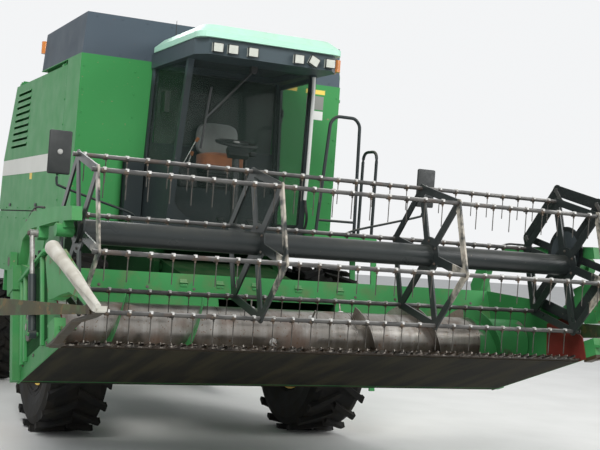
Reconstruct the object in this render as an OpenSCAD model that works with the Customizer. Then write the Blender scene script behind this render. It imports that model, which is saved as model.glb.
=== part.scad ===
// Combine harvester with a raised grain header and a pickup reel.
// Millimetres, +Z up. The machine faces -Y, its own left side is +X.
// The origin lies on the ground, straight below the middle of the front axle.

/* [Wheels] */
// Outer radius of a front wheel, over the lugs
front_wheel_r = 850; // [780:10:900]
// Section width of a front tyre
front_wheel_w = 560; // [480:10:620]
// Radius where a front tyre meets its rim
front_rim_r = 400; // [340:10:430]
// Distance between the middles of the front tyres
front_track = 2620; // [2560:10:2760]
// Number of lugs on each side of a front tyre
front_lugs = 20; // [14:1:24]
// Outer radius of a rear wheel, over the lugs
rear_wheel_r = 620; // [560:10:660]
// Section width of a rear tyre
rear_wheel_w = 380; // [320:10:420]
// Radius where a rear tyre meets its rim
rear_rim_r = 270; // [240:10:300]
// Distance between the middles of the rear tyres
rear_track = 2560; // [2520:10:2640]
// Number of lugs on each side of a rear tyre
rear_lugs = 18; // [12:1:20]
// Distance from the front axle to the rear axle
wheelbase = 3650; // [3500:10:3900]

/* [Body] */
// Width over the side shields
body_w = 2754; // [2700:2:2800]
// Height of the shoulders of the body above the ground
body_top = 3600; // [3500:10:3700]
// Distance of the grain tank's front wall ahead of the front axle
tank_front = 130; // [60:10:160]
// Length of the grain tank
tank_len = 1730; // [1600:10:1750]
// Height of the tank extension above the shoulders
extension_h = 400; // [300:10:500]
// Thickness of the body's sheet panels
panel_t = 12; // [8:1:16]
// Height of the seam between upper and lower side panels
seam_z = 2080; // [2000:10:2150]
// Number of louvre slots in the right side shield
louvres = 9; // [5:1:11]
// Half width of the threshing housing
housing_hw = 640; // [600:10:650]

/* [Cab] */
// Half width of the cab at its rear posts
cab_hw = 720; // [700:5:740]
// Height of the cab floor above the ground
cab_floor_z = 2060; // [2040:5:2080]
// Distance of the windshield's foot ahead of the front axle
cab_foot = 940; // [900:10:980]
// How far the windshield leans forward at its top
cab_lean = 160; // [100:10:200]
// How far each side wall leans in from floor to head
cab_side_in = 43; // [20:1:60]
// How much narrower each side of the cab gets towards the front
cab_taper = 30; // [10:1:40]
// Side of a cab post
post = 55; // [45:1:65]
// Thickness of the cab's glass
glass_t = 6; // [5:1:8]

/* [Header] */
// Half width of the header between its end sheets
header_hw = 2150; // [2100:10:2200]
// Angle by which the header is raised from its level stance
header_raise = 19; // [17:0.5:20]
// Depth of the header floor from knife to back sheet
floor_d = 1146; // [1120:2:1180]
// Height of the back sheet
back_h = 900; // [860:10:940]
// Radius of the auger drum
drum_r = 212; // [190:2:220]
// Radius of the auger flights
flight_r = 298; // [280:2:300]
// Distance between neighbouring guard castings on the cutterbar
guard_pitch = 152.4; // [150:0.1:156]

/* [Reel] */
// Radius of the circle on which the bats turn
reel_r = 557; // [540:1:565]
// Radius of the reel's centre tube
reel_tube_r = 85; // [70:1:95]
// Radius of a bat tube
bat_r = 16; // [14:1:19]
// Length of the tines below the middle of a bat tube
tine_len = 185; // [150:1:190]
// Distance between neighbouring tines on a bat
tine_pitch = 152.4; // [140:0.2:170]
// Number of bats
bats = 6; // [6:1:6]

/* [Hidden] */

// Colours
green = [0.10, 0.42, 0.20];
pale_green = [0.62, 0.80, 0.70];
charcoal = [0.16, 0.17, 0.18];
steel = [0.62, 0.63, 0.64];
tank_blue = [0.20, 0.24, 0.30];
rubber = [0.09, 0.09, 0.09];
yellow = [0.93, 0.75, 0.15];

// Running gaps
pin_gap = 0.05;
face_gap = 5;
seat_gap = 0.3;
big_fn = 48;
pin_fn = 32;

// Body
body_hw = body_w / 2;
tank_y0 = -tank_front;
tank_y1 = tank_y0 + tank_len;
corner_y1 = 400;
left_corner_y1 = 850;
shield_y1 = 2900;
hood_y1 = 3480;
deck_z = body_top - 60;
shield_top = body_top - 55;
shield_pivot_x = body_hw - 22;
shield_pivot_z = shield_top + 18;
housing_y0 = -380;
housing_y1 = 3050;
housing_top = 1980;
housing_low = 1050;

// Axles
front_axle_z = front_wheel_r;
rear_axle_z = rear_wheel_r;
front_hub_x = front_track / 2;
rear_hub_x = rear_track / 2;
spindle_r = 60;
swing_pin_r = 35;
kingpin_x = 980;
kingpin_r = 30;
arm_len = 200;
hub_len = 90;
rail_x0 = housing_hw + seat_gap;
rail_x1 = 745;
rail_z0 = 1010;
rail_z1 = 1200;

// Tip and upper end of a crop divider's cone in the header's own frame
divider_tip = [-4316, 186];
divider_top = [-3258, 849];
divider_tip_r = 16;

// Feeder pivot and the header's own frame, in which the floor is level
pivot_y = -470;
pivot_z = 1620;
knife_y = -3012;
floor_z = 247;
back_y = knife_y + floor_d;
back_top = floor_z + back_h;
sheet_t = 8;
end_t = 10;
auger_y = back_y - flight_r - 22;
auger_z = floor_z + flight_r + 30;
mouth_hw = 540;
mouth_z0 = floor_z + 130;
mouth_z1 = floor_z + 700;

// Reel arms, in the header's own frame
arm_w = 70;
arm_pivot_y = -1708;
arm_pivot_z = 1215;
reel_y = -3139;
reel_z = 1020;

// Reel lift cylinders: foot and eye in the header's own frame
reel_foot = [-2445, 460];
reel_eye = [-2445, 1215];

// Inner and outer face of a reel arm and middle of its cylinder, side 0 is the machine's left
function arm_in(side) = side == 0 ? header_hw - 18 : header_hw - 55;
function arm_out(side) = arm_in(side) + arm_w;
function cyl_x(side) = arm_out(side) + 40;

// Reel axis as the header stands
function raised(y, z) = [
  pivot_y + (y - pivot_y) * cos(header_raise) + (z - pivot_z) * sin(header_raise),
  pivot_z - (y - pivot_y) * sin(header_raise) + (z - pivot_z) * cos(header_raise)
];
reel_axis = raised(reel_y, reel_z);
spider_end = header_hw - 105;
spider_mid = spider_end * 0.357;
spider_x = [-spider_end, -spider_mid, spider_mid, spider_end];
spider_t = 14;
bat_angle0 = 47.6;
bat_x0 = -(header_hw - 65);
crank = [90, 100];
eccentric_x = header_hw - 40;
eccentric_t = 10;
// Fixed disc on which the eccentric ring turns
disc_r = 185;
stub_r = 30;
stub_len = 60;

// Shared shapes
module block(x, y, z) {
  translate([x[0], y[0], z[0]]) cube([x[1] - x[0], y[1] - y[0], z[1] - z[0]]);
}
module both_sides() {
  children();
  mirror([1, 0, 0]) children();
}
module rod_x(r, x, y, z, fn = pin_fn) {
  translate([x[0], y, z]) rotate([0, 90, 0]) cylinder(r = r, h = x[1] - x[0], $fn = fn);
}
module side_profile(points, x) {
  translate([x[0], 0, 0]) rotate([90, 0, 90]) linear_extrude(height = x[1] - x[0]) polygon(points);
}
module bar(a, b, r, fn = 16) {
  d = b - a;
  l = norm(d);
  translate(a) rotate([0, acos(d[2] / l), atan2(d[1], d[0])]) cylinder(r = r, h = l, $fn = fn);
}
// A bent tube through a list of points
module tube_run(points, r) {
  for (i = [0 : len(points) - 2]) bar(points[i], points[i + 1], r);
  for (i = [1 : len(points) - 2]) translate(points[i]) sphere(r = r + 0.6, $fn = 24);
}
module raise_header() {
  translate([0, pivot_y, pivot_z]) rotate([-header_raise, 0, 0]) translate([0, -pivot_y, -pivot_z]) children();
}

// Wheels
// How far the bead sits inside the section width
bead_in = 62;
module tyre(r, w, rim_r, lugs) {
  tread = r - 42;
  shoulder = w / 2;
  // Section points: radius, half width
  section = [
    [rim_r, shoulder - bead_in], [rim_r + 24, shoulder - bead_in], [rim_r + 60, shoulder - 30],
    [(rim_r + tread) / 2, shoulder - 4], [tread - 90, shoulder], [tread - 25, shoulder - 22], [tread, shoulder - 80]
  ];
  other = [for (i = [len(section) - 1 : -1 : 0]) [section[i][0], -section[i][1]]];
  color(rubber) union() {
    rotate_extrude($fn = 64) polygon(concat(section, other));
    intersection() {
      cylinder(r = r, h = w + 40, center = true, $fn = 64);
      for (side = [0, 1]) mirror([0, 0, side])
        for (i = [0 : lugs - 1]) rotate([0, 0, (i + side / 2) * 360 / lugs]) lug(r, w);
    }
  }
}
// One lug, a slanted bar from the middle of the tread over the shoulder
module lug(r, w) {
  half = w / 2;
  run = w * 0.34;
  translate([r - 70, 0, 0]) rotate([90, 0, 90]) linear_extrude(height = 90)
    polygon([[-30, -6], [28, -6], [run + 34, half - 14], [run + 34, half + 3], [run - 44, half + 3], [run - 44, half - 14]]);
}
module wheel_rim(r, w, hub_z) {
  half = w / 2 - bead_in;
  color(yellow) union() {
    rotate_extrude($fn = big_fn)
      polygon([[r - 12, -half - 12], [r + 22, -half - 12], [r + 22, -half], [r, -half],
        [r, half], [r + 22, half], [r + 22, half + 12], [r - 12, half + 12]]);
    rotate_extrude($fn = big_fn)
      polygon([[spindle_r + pin_gap, hub_z], [150, hub_z], [r - 6, hub_z + 60], [r - 6, hub_z + 76],
        [155, hub_z + 16], [110, hub_z + 16], [110, hub_z + hub_len], [spindle_r + pin_gap, hub_z + hub_len]]);
  }
}
module at_front_wheel(side) {
  mirror([side, 0, 0]) translate([front_hub_x, 0, front_axle_z]) rotate([0, 90, 0]) children();
}
module at_rear_wheel(side) {
  mirror([side, 0, 0]) translate([rear_hub_x, wheelbase, rear_axle_z]) rotate([0, 90, 0]) children();
}
front_disc = 10;
rear_disc = 10;
module front_tyre_right() { at_front_wheel(1) tyre(front_wheel_r, front_wheel_w, front_rim_r, front_lugs); }
module front_tyre_left() { at_front_wheel(0) tyre(front_wheel_r, front_wheel_w, front_rim_r, front_lugs); }
module front_rim_right() { at_front_wheel(1) wheel_rim(front_rim_r, front_wheel_w, front_disc); }
module front_rim_left() { at_front_wheel(0) wheel_rim(front_rim_r, front_wheel_w, front_disc); }
module rear_tyre_right() { at_rear_wheel(1) tyre(rear_wheel_r, rear_wheel_w, rear_rim_r, rear_lugs); }
module rear_tyre_left() { at_rear_wheel(0) tyre(rear_wheel_r, rear_wheel_w, rear_rim_r, rear_lugs); }
module rear_rim_right() { at_rear_wheel(1) wheel_rim(rear_rim_r, rear_wheel_w, rear_disc); }
module rear_rim_left() { at_rear_wheel(0) wheel_rim(rear_rim_r, rear_wheel_w, rear_disc); }

// Running gear
module chassis_frame() {
  color(green) union() {
    both_sides() block([rail_x0, rail_x1], [housing_y0 + 60, wheelbase + 260], [rail_z0, rail_z1]);
    both_sides() block([rail_x0, rail_x1], [-110, 110], [front_axle_z + 110, rail_z0 + 5]);
    block([-rail_x1, rail_x1], [wheelbase + 140, wheelbase + 260], [rail_z0, rail_z1]);
    block([-rail_x1, rail_x1], [wheelbase - 260, wheelbase - 140], [rail_z0, rail_z1]);
    // Carriers of the rear axle's swing pin
    for (y = [wheelbase - 150, wheelbase + 90]) difference() {
      block([-160, 160], [y, y + 60], [rear_axle_z - 70, rail_z0 + 60]);
      rod_x_y(swing_pin_r + pin_gap, [y - 1, y + 61], 0, rear_axle_z);
    }
    difference() {
      block([-70, 70], [wheelbase + 259, wheelbase + 420], [rail_z0 + 20, rail_z0 + 140]);
      block([-71, 71], [wheelbase + 300, wheelbase + 421], [rail_z0 + 55, rail_z0 + 105]);
      translate([0, wheelbase + 370, rail_z0]) cylinder(r = 15, h = 200, $fn = pin_fn);
    }
    both_sides() block([lift_x + 50, rail_x0 + 5], [lift_y_z[0] - 40, lift_y_z[0] + 30], [lift_y_z[1] - 50, housing_low - 5]);
    rod_x(30, [-rail_x0 + 2, rail_x0 - 2], lift_y_z[0], lift_y_z[1]);
  }
}
// Foot of the lift cylinders on the frame
lift_y_z = [-220, 720];
module front_axle() {
  color(green) union() {
    block([-800, 800], [-110, 110], [front_axle_z - 110, front_axle_z + 110]);
    translate([0, 0, front_axle_z]) rotate([90, 0, 0]) cylinder(r = 190, h = 360, center = true, $fn = big_fn);
    both_sides() rod_x(205, [770, 960], 0, front_axle_z, big_fn);
    both_sides() rod_x(140, [950, front_hub_x + front_disc - face_gap], 0, front_axle_z, big_fn);
    both_sides() rod_x(spindle_r, [front_hub_x, front_hub_x + front_disc + hub_len - 4], 0, front_axle_z);
  }
}
module rear_axle() {
  color(green) union() {
    block([-kingpin_x + 50, kingpin_x - 50], [wheelbase - 75, wheelbase + 75], [rear_axle_z - 65, rear_axle_z + 65]);
    rod_x_y(swing_pin_r, [wheelbase - 155, wheelbase + 155], 0, rear_axle_z);
    both_sides() difference() {
      union() {
        translate([kingpin_x, wheelbase, rear_axle_z - 65]) cylinder(r = 58, h = 130, $fn = pin_fn);
        block([kingpin_x - 60, kingpin_x], [wheelbase - 55, wheelbase + 55], [rear_axle_z - 65, rear_axle_z + 65]);
      }
      translate([kingpin_x, wheelbase, rear_axle_z - 80]) cylinder(r = kingpin_r + pin_gap, h = 160, $fn = pin_fn);
    }
  }
}
module knuckle() {
  color(green) union() {
    translate([kingpin_x, wheelbase, rear_axle_z - 95]) cylinder(r = kingpin_r, h = 190, $fn = pin_fn);
    for (z = [rear_axle_z - 95, rear_axle_z + 67]) {
      translate([kingpin_x, wheelbase, z]) cylinder(r = 50, h = 28, $fn = pin_fn);
      block([kingpin_x, kingpin_x + 80], [wheelbase - 45, wheelbase + 45], [z, z + 28]);
    }
    block([kingpin_x + 66, kingpin_x + 90], [wheelbase - 45, wheelbase + 45], [rear_axle_z - 95, rear_axle_z + 95]);
    rod_x(90, [kingpin_x + 80, rear_hub_x + rear_disc - face_gap], wheelbase, rear_axle_z);
    rod_x(spindle_r, [rear_hub_x, rear_hub_x + rear_disc + hub_len - 4], wheelbase, rear_axle_z);
    difference() {
      union() {
        block([kingpin_x - 30, kingpin_x + 30], [wheelbase + 20, wheelbase + arm_len], [rear_axle_z - 95, rear_axle_z - 67]);
        translate([kingpin_x, wheelbase + arm_len, rear_axle_z - 95]) cylinder(r = 34, h = 28, $fn = pin_fn);
      }
      translate([kingpin_x, wheelbase + arm_len, rear_axle_z - 110]) cylinder(r = 14 + pin_gap, h = 60, $fn = pin_fn);
    }
  }
}
module knuckle_right() { mirror([1, 0, 0]) knuckle(); }
module knuckle_left() { knuckle(); }
module tie_rod() {
  z = rear_axle_z - 125;
  color(charcoal) union() {
    rod_x(20, [-kingpin_x, kingpin_x], wheelbase + arm_len, z);
    both_sides() translate([kingpin_x, wheelbase + arm_len, z - 24]) cylinder(r = 32, h = 48, $fn = pin_fn);
    both_sides() translate([kingpin_x, wheelbase + arm_len, z]) cylinder(r = 14, h = 56, $fn = pin_fn);
  }
}

// Body
engine_hw = 430;
engine_y0 = tank_y1 + 300;
module engine_block() {
  color(charcoal) union() {
    block([-engine_hw, engine_hw], [engine_y0, engine_y0 + 860], [housing_top + 130, housing_top + 1000]);
    for (y = [engine_y0 + 100, engine_y0 + 700])
      block([-engine_hw, engine_hw], [y - 50, y + 50], [housing_top, housing_top + 131]);
  }
}
module threshing_housing() {
  ear = 60;
  color(green) difference() {
    union() {
      side_profile([
        [housing_y0, housing_low + 100], [housing_y0, housing_top], [housing_y1, housing_top], [housing_y1, housing_low + 200],
        [2750, 860], [700, 780], [250, 780], [195, housing_low], [-195, housing_low]
      ], [-housing_hw, housing_hw]);
      both_sides() side_profile([
        [housing_y0 + 2, pivot_z - 160], [housing_y0 + 2, pivot_z + 160],
        [pivot_y - ear, pivot_z + ear], [pivot_y - ear, pivot_z - ear]
      ], [mouth_hw + 45, housing_hw]);
    }
    block([-500, 500], [housing_y0 - 1, 60], [1250, 1840]);
    rod_x(40 + pin_gap, [-housing_hw - 1, housing_hw + 1], pivot_y, pivot_z);
  }
}
// Cover on the tank's front wall: inner edge, depth, edge radius, top
cover_x = cab_hw + 180;
cover_d = 90;
cover_r = 85;
cover_top = 2640;
module grain_tank() {
  hw = body_hw;
  inner = hw - panel_t;
  color(green) union() {
    // Front wall with its folded corners, seen on both sides of the cab
    block([-hw, hw], [tank_y0, tank_y0 + panel_t], [seam_z, body_top]);
    block([-hw, -inner], [tank_y0, corner_y1], [seam_z, body_top]);
    block([inner, hw], [tank_y0, left_corner_y1], [seam_z, body_top]);
    // Ledges that carry the extension and the hinges of the side shields
    both_sides() block([hw - 80, hw], [tank_y0 + 1, tank_y1], [body_top - 8, body_top]);
    mirror([1, 0, 0]) hinge_ears(corner_y1 + hinge_in, [body_top - 57, body_top - 7]);
    hinge_ears(left_corner_y1 + hinge_in, [body_top - 57, body_top - 7]);
    // Side walls behind the shields and the rear wall
    both_sides() block([hw - 80, hw - 80 + panel_t], [tank_y0 + 1, tank_y1], [2500, body_top]);
    block([-hw + 69, hw - 69], [tank_y1 - panel_t, tank_y1], [2500, body_top]);
    // Floor, sloping down to the cross auger
    difference() {
      side_profile([[tank_y0 + 1, 2512], [tank_y1, 2512], [tank_y1, 2500], [950, housing_top], [300, housing_top], [tank_y0 + 1, 2280]], [-hw + 69, hw - 69]);
      side_profile([[tank_y0 + panel_t, 2513], [tank_y1 - panel_t, 2513], [940, housing_top + 12], [310, housing_top + 12], [tank_y0 + panel_t, 2292]], [-hw + 81, hw - 81]);
    }
    // Cover beside the cab, its edge rounded
    translate([0, 0, seam_z - 50]) linear_extrude(height = cover_top - seam_z + 50) {
      translate([-hw + 47, tank_y0 - cover_d]) square([hw - 47 - cover_x - cover_r, cover_d + 1]);
      intersection() {
        translate([-cover_x - cover_r, tank_y0 - cover_d + cover_r]) circle(r = cover_r, $fn = big_fn);
        translate([-cover_x - cover_r - 1, tank_y0 - cover_d]) square([cover_r + 1, cover_d + 1]);
      }
    }
    // Cross auger in the trough
    rod_x(90, [-hw + 75, hw - 75], 625, housing_top + 132, big_fn);
  }
}
module tank_extension() {
  z0 = body_top;
  z1 = body_top + extension_h;
  hw = body_hw - 6;
  lean = 28;
  y0 = tank_y0 + 4;
  y1 = tank_y1;
  wall = 6;
  color(tank_blue) union() {
    for (side = [0, 1]) mirror([side, 0, 0]) rotate([90, 0, 0]) translate([0, 0, -y1])
      linear_extrude(height = y1 - y0) polygon([[hw - wall, z0], [hw, z0], [hw - lean, z1], [hw - lean - wall, z1]]);
    rotate([90, 0, 0]) translate([0, 0, -y0 - wall]) linear_extrude(height = wall)
      polygon([[-hw + 1, z0], [hw - 1, z0], [hw - lean - 1, z1], [-hw + lean + 1, z1]]);
    rotate([90, 0, 0]) translate([0, 0, -y1]) linear_extrude(height = wall)
      polygon([[-hw + 1, z0], [hw - 1, z0], [hw - lean - 1, z1], [-hw + lean + 1, z1]]);
    block([-20, 20], [y0 + 1, y1 - 1], [z1 - 60, z1 - 20]);
  }
}
// Outline of a side shield: front edge at y0, sloping rear edge
function shield_outline(y0) = [[y0, seam_z + 10], [y0, shield_top], [shield_y1, shield_top], [hood_y1 - 70, 2700], [hood_y1, seam_z + 10]];
module side_shield(y0) {
  side_profile(shield_outline(y0), [body_hw - panel_t, body_hw]);
}
hinge_in = 150;
hinge_len = 90;
hinge_pin_r = 10;
ear_r = 15;
ear_t = 20;
rear_hinge_y = shield_y1 - 250;
module shield_hinge(y0) {
  for (y = [y0 + hinge_in, rear_hinge_y]) {
    rod_x_y(hinge_pin_r, [y - ear_t - 4, y + hinge_len + ear_t + 4], shield_pivot_x, shield_pivot_z);
    block([shield_pivot_x - 10, body_hw], [y, y + hinge_len], [shield_top - 60, shield_pivot_z]);
  }
}
// Two ears that hold a hinge pin of a side shield
module hinge_ears(y, z) {
  for (e = [y - ear_t - 2, y + hinge_len + 2]) difference() {
    union() {
      block([body_hw - 80, shield_pivot_x + 5], [e, e + ear_t], z);
      rod_x_y(ear_r, [e, e + ear_t], shield_pivot_x, shield_pivot_z);
    }
    rod_x_y(hinge_pin_r + pin_gap, [e - 1, e + ear_t + 1], shield_pivot_x, shield_pivot_z);
  }
}
module rod_x_y(r, y, x, z) {
  translate([x, y[1], z]) rotate([90, 0, 0]) cylinder(r = r, h = y[1] - y[0], $fn = pin_fn);
}
slot_pitch = 75;
module side_shield_right() {
  color(green) mirror([1, 0, 0]) difference() {
    union() {
      side_shield(corner_y1 + 6);
      shield_hinge(corner_y1);
    }
    for (i = [0 : louvres - 1])
      block([body_hw - 40, body_hw + 1], [2060 + i * 8, 2760 + i * 30], [shield_top - 130 - i * slot_pitch, shield_top - 130 - i * slot_pitch + 34]);
  }
}
module side_shield_left() {
  color(green) union() {
    side_shield(left_corner_y1 + 6);
    shield_hinge(left_corner_y1);
  }
}
module lower_panels() {
  outline = [[tank_y0 + 5, seam_z - 4], [tank_y0 + 5, 1960], [780, 1960], [1010, 1380], [hood_y1 - 30, 1380], [hood_y1, seam_z - 4]];
  color(green) both_sides() union() {
    side_profile(outline, [body_hw - panel_t, body_hw]);
    for (y = [1500, 2900]) block([rail_x1, body_hw - panel_t + 1], [y - 25, y + 25], [rail_z1 - 60, rail_z1]);
    for (y = [1500, 2900]) block([body_hw - 60, body_hw - panel_t + 1], [y - 25, y + 25], [rail_z1 - 60, 1700]);
  }
}
hood_top = 2640;
hood_low = housing_top - 500;
// Rear face of the straw hood at a height
function hood_rear(z) = 4420 + (2120 - z) * 60 / 560;
module rear_hood() {
  t = 10;
  hw = housing_hw;
  outer = [[housing_y1, hood_low], [housing_y1, hood_top], [housing_y1 + 450, hood_top], [housing_y1 + 1130, hood_top - 220],
    [hood_rear(2120), 2120], [hood_rear(1560), 1560], [housing_y1 + 850, hood_low]];
  color(green) difference() {
    side_profile(outer, [-hw, hw]);
    side_profile([[housing_y1 - 1, hood_low - 80], [housing_y1 - 1, hood_top - t], [housing_y1 + 448, hood_top - t],
      [housing_y1 + 1124, hood_top - 229], [hood_rear(2116) - t, 2116], [hood_rear(hood_low - 80) - t, hood_low - 80]],
      [-hw + t, hw - t]);
  }
}
module engine_deck() {
  t = panel_t;
  color(green) union() {
    difference() {
      side_profile([
        [tank_y1, deck_z], [shield_y1 - 8, deck_z], [hood_y1 - 90, 2690], [hood_y1 - 15, seam_z + 12],
        [hood_y1 - 15 - t, seam_z + 12], [hood_y1 - 90 - t, 2690], [shield_y1 - 8 - t, deck_z - t], [tank_y1, deck_z - t]
      ], [-body_hw + 42, body_hw - 42]);
      block([-housing_hw - seat_gap, housing_hw + seat_gap], [hood_y1 - 150, hood_y1 + 1], [seam_z, hood_top + seat_gap]);
    }
    both_sides() hinge_ears(rear_hinge_y, [deck_z - t, body_top - 7]);
    translate([600, engine_y0 + 350, deck_z - 30]) cylinder(r = 60, h = 420, $fn = pin_fn);
    block([-engine_hw, engine_hw], [engine_y0, engine_y0 + 800], [deck_z - 1, deck_z + 140]);
  }
}

// Cab
cab_rear = tank_y0 - 20;
cab_head_z = 3530;
cab_h = cab_head_z - cab_floor_z;
rear_post_y = cab_rear - post;
front_post_y = -cab_foot + post;
side_slope = cab_side_in / cab_h;
taper_slope = cab_taper / (rear_post_y - front_post_y);
side_lean = atan(side_slope);
side_turn = atan(taper_slope * cos(side_lean));
// Outer face of the cab's side at a place
function side_x(y, z) = cab_hw - taper_slope * (rear_post_y - y) - side_slope * (z - cab_floor_z);
visor_front = 1500;
roof_z0 = 3675;
roof_z1 = 3800;
sill_z = 2620;
floor_t = 50;
platform_z = cab_floor_z - 10;
step_z = cab_floor_z - 8;
module cab_plan() {
  polygon([[-cab_hw, cab_rear], [cab_hw, cab_rear], [cab_hw, rear_post_y], [front_post_x, -cab_foot],
    [-front_post_x, -cab_foot], [-cab_hw, rear_post_y]]);
}
front_post_x = side_x(-cab_foot, cab_floor_z);
// Places a piece, drawn straight, in the leaning plane of the cab's left side
module on_side() {
  translate([cab_hw, rear_post_y, cab_floor_z]) rotate([0, -side_lean, 0]) rotate([0, 0, -side_turn])
    translate([-cab_hw, -rear_post_y, -cab_floor_z]) children();
}
wall_top = sill_z + 200;
wall_foot = side_x(rear_post_y, cab_floor_z) - post - seat_gap;
wall_head = side_x(rear_post_y, wall_top) - post - seat_gap;
module cab_base() {
  color(charcoal) union() {
    translate([0, 0, cab_floor_z - floor_t]) linear_extrude(height = floor_t) cab_plan();
    // Rear wall between the rear posts
    translate([0, cab_rear, 0]) rotate([90, 0, 0]) linear_extrude(height = 30)
      polygon([[-wall_foot, cab_floor_z - 1], [wall_foot, cab_floor_z - 1], [wall_head, wall_top], [-wall_head, wall_top]]);
    block([-500, 500], [cab_rear - 420, cab_rear - 29], [cab_floor_z - 1, 2400]);
    // Bearers on the top of the threshing housing
    both_sides() block([420, 520], [-cab_foot + 60, tank_y0 - 2], [housing_top, cab_floor_z - floor_t + 1]);
    block([-600, 600], [-700, -600], [housing_top, cab_floor_z - floor_t + 1]);
    // Step on the right that carries the mirror arm
    block([-1001, -front_post_x + 30], [-cab_foot - 30, -cab_foot + 60], [cab_floor_z - floor_t, step_z]);
    // Dark box between the cab and the cover
    block([-cover_x + seat_gap, -cab_hw - 8], [tank_y0 - 150, tank_y0 - seat_gap], [seam_z - 20, cover_top - 20]);
  }
}
// A post between a foot and a head, outside flush with the cab's side at an edge behind their front
module cab_post(y_foot, y_head, edge) {
  hull() {
    x0 = side_x(y_foot + edge, cab_floor_z);
    x1 = side_x(y_head + edge, cab_head_z);
    block([x0 - post, x0], [y_foot, y_foot + post], [cab_floor_z, cab_floor_z + 1]);
    block([x1 - post, x1], [y_head, y_head + post], [cab_head_z - 1, cab_head_z]);
  }
}
module cab_frame() {
  color(charcoal) union() {
    both_sides() cab_post(-cab_foot, -cab_foot - cab_lean, post);
    both_sides() cab_post(rear_post_y, rear_post_y, 0);
    // Filled lower corners of the windshield's frame
    in_windshield() translate([-glass_half0 - 10, 0, -glass_in + seat_gap]) corner_fill(400, 250);
    mirror([1, 0, 0]) in_windshield() translate([-glass_half0 - 10, 0, -glass_in + seat_gap]) corner_fill(100, 110);
    // Right side wall below the window
    mirror([1, 0, 0]) on_side() side_profile([[rear_post_y + 10, cab_floor_z + 3], [rear_post_y + 10, sill_z],
      [lean_y(sill_z) + post - 10, sill_z], [front_post_y - 10, cab_floor_z + 3]], [cab_hw - 32, cab_hw - 2]);
    // Lower halves of the door's hinges, with their pins
    on_side() for (z = door_hinge_z) {
      translate([door_axis[0], door_axis[1], z - 42]) cylinder(r = 12, h = 40, $fn = pin_fn);
      translate([door_axis[0], door_axis[1], z - 30]) cylinder(r = 6, h = 108, $fn = pin_fn);
      block([cab_hw - 6, cab_hw + 20], [door_axis[1], door_axis[1] + 32], [z - 42, z - 2]);
    }
    // Head frame with the overhanging visor
    difference() {
      translate([0, 0, cab_head_z]) linear_extrude(height = roof_z0 - cab_head_z)
        polygon([[-690, cab_rear], [690, cab_rear], [690, -visor_front + 120], [600, -visor_front], [-600, -visor_front], [-690, -visor_front + 120]]);
      block([-560, 560], [-cab_foot - 60, cab_rear - 90], [cab_head_z - 1, cab_head_z + 60]);
    }
  }
}
module cab_roof() {
  r = 110;
  color(pale_green) hull() {
    for (x = [-700 + r, 700 - r]) for (y = [-1540 + r, cab_rear + 10 - r])
      translate([x, y, roof_z0]) cylinder(r = r, h = 50, $fn = 24);
    for (x = [-620 + r, 620 - r]) for (y = [-1450 + r, cab_rear - 30 - r])
      translate([x, y, roof_z1 - 5]) cylinder(r = r, h = 5, $fn = 24);
  }
}
// Line of the leaning windshield: distance ahead of the axle at a height
function lean_y(z) = -cab_foot - cab_lean * (z - cab_floor_z) / (cab_head_z - cab_floor_z);
glass_in = 8;
glass_side_in = 24;
glass_half0 = side_x(front_post_y, cab_floor_z) - post - seat_gap;
glass_half1 = side_x(-cab_foot - cab_lean + post, cab_head_z) - post - seat_gap;
glass_lean = atan(cab_lean / cab_h);
module in_windshield() {
  translate([0, -cab_foot, cab_floor_z]) rotate([90 + glass_lean, 0, 0]) children();
}
// Windshield, cut to the space between the leaning front posts
module windshield() {
  length = cab_h / cos(glass_lean);
  in_windshield() translate([0, 0, -glass_in - glass_t]) linear_extrude(height = glass_t)
    polygon([[-glass_half0, 1], [glass_half0, 1], [glass_half1, length - 2], [-glass_half1, length - 2]]);
}
// A corner filled up to a hollow curve, width w and height h
module corner_fill(w, h) {
  linear_extrude(height = glass_in - seat_gap)
    polygon(concat([[0, 1]], [for (a = [0 : 10 : 90]) [w * (1 - sin(a)), 1 + h * (1 - cos(a))]]));
}
module cab_glass() {
  color([0.4, 0.5, 0.5, 0.5]) union() {
    windshield();
    side_y1 = rear_post_y - glass_side_in * sin(side_turn) - seat_gap;
    mirror([1, 0, 0]) on_side() side_profile([[side_y1, sill_z + seat_gap], [side_y1, cab_head_z - 2],
      [lean_y(cab_head_z) + post + 2, cab_head_z - 2], [lean_y(sill_z) + post + 2, sill_z + seat_gap]],
      [cab_hw - glass_side_in, cab_hw - glass_side_in + glass_t]);
    rear_half = side_x(rear_post_y, cab_head_z) - post - seat_gap;
    block([-rear_half, rear_half], [cab_rear - 20, cab_rear - 20 + glass_t], [wall_top + seat_gap, cab_head_z - seat_gap]);
  }
}
door_y1 = cab_rear - post - 6;
module door_outline(inset) {
  polygon([
    [door_y1 - inset, cab_floor_z + 12 + inset], [door_y1 - inset, cab_head_z - 10 - inset],
    [lean_y(cab_head_z - 10) + post + 12 + inset, cab_head_z - 10 - inset],
    [lean_y(cab_floor_z) + post + 12 + inset, cab_floor_z + 12 + inset]
  ]);
}
door_x = [cab_hw - 30, cab_hw - 2];
door_rim = 45;
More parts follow.
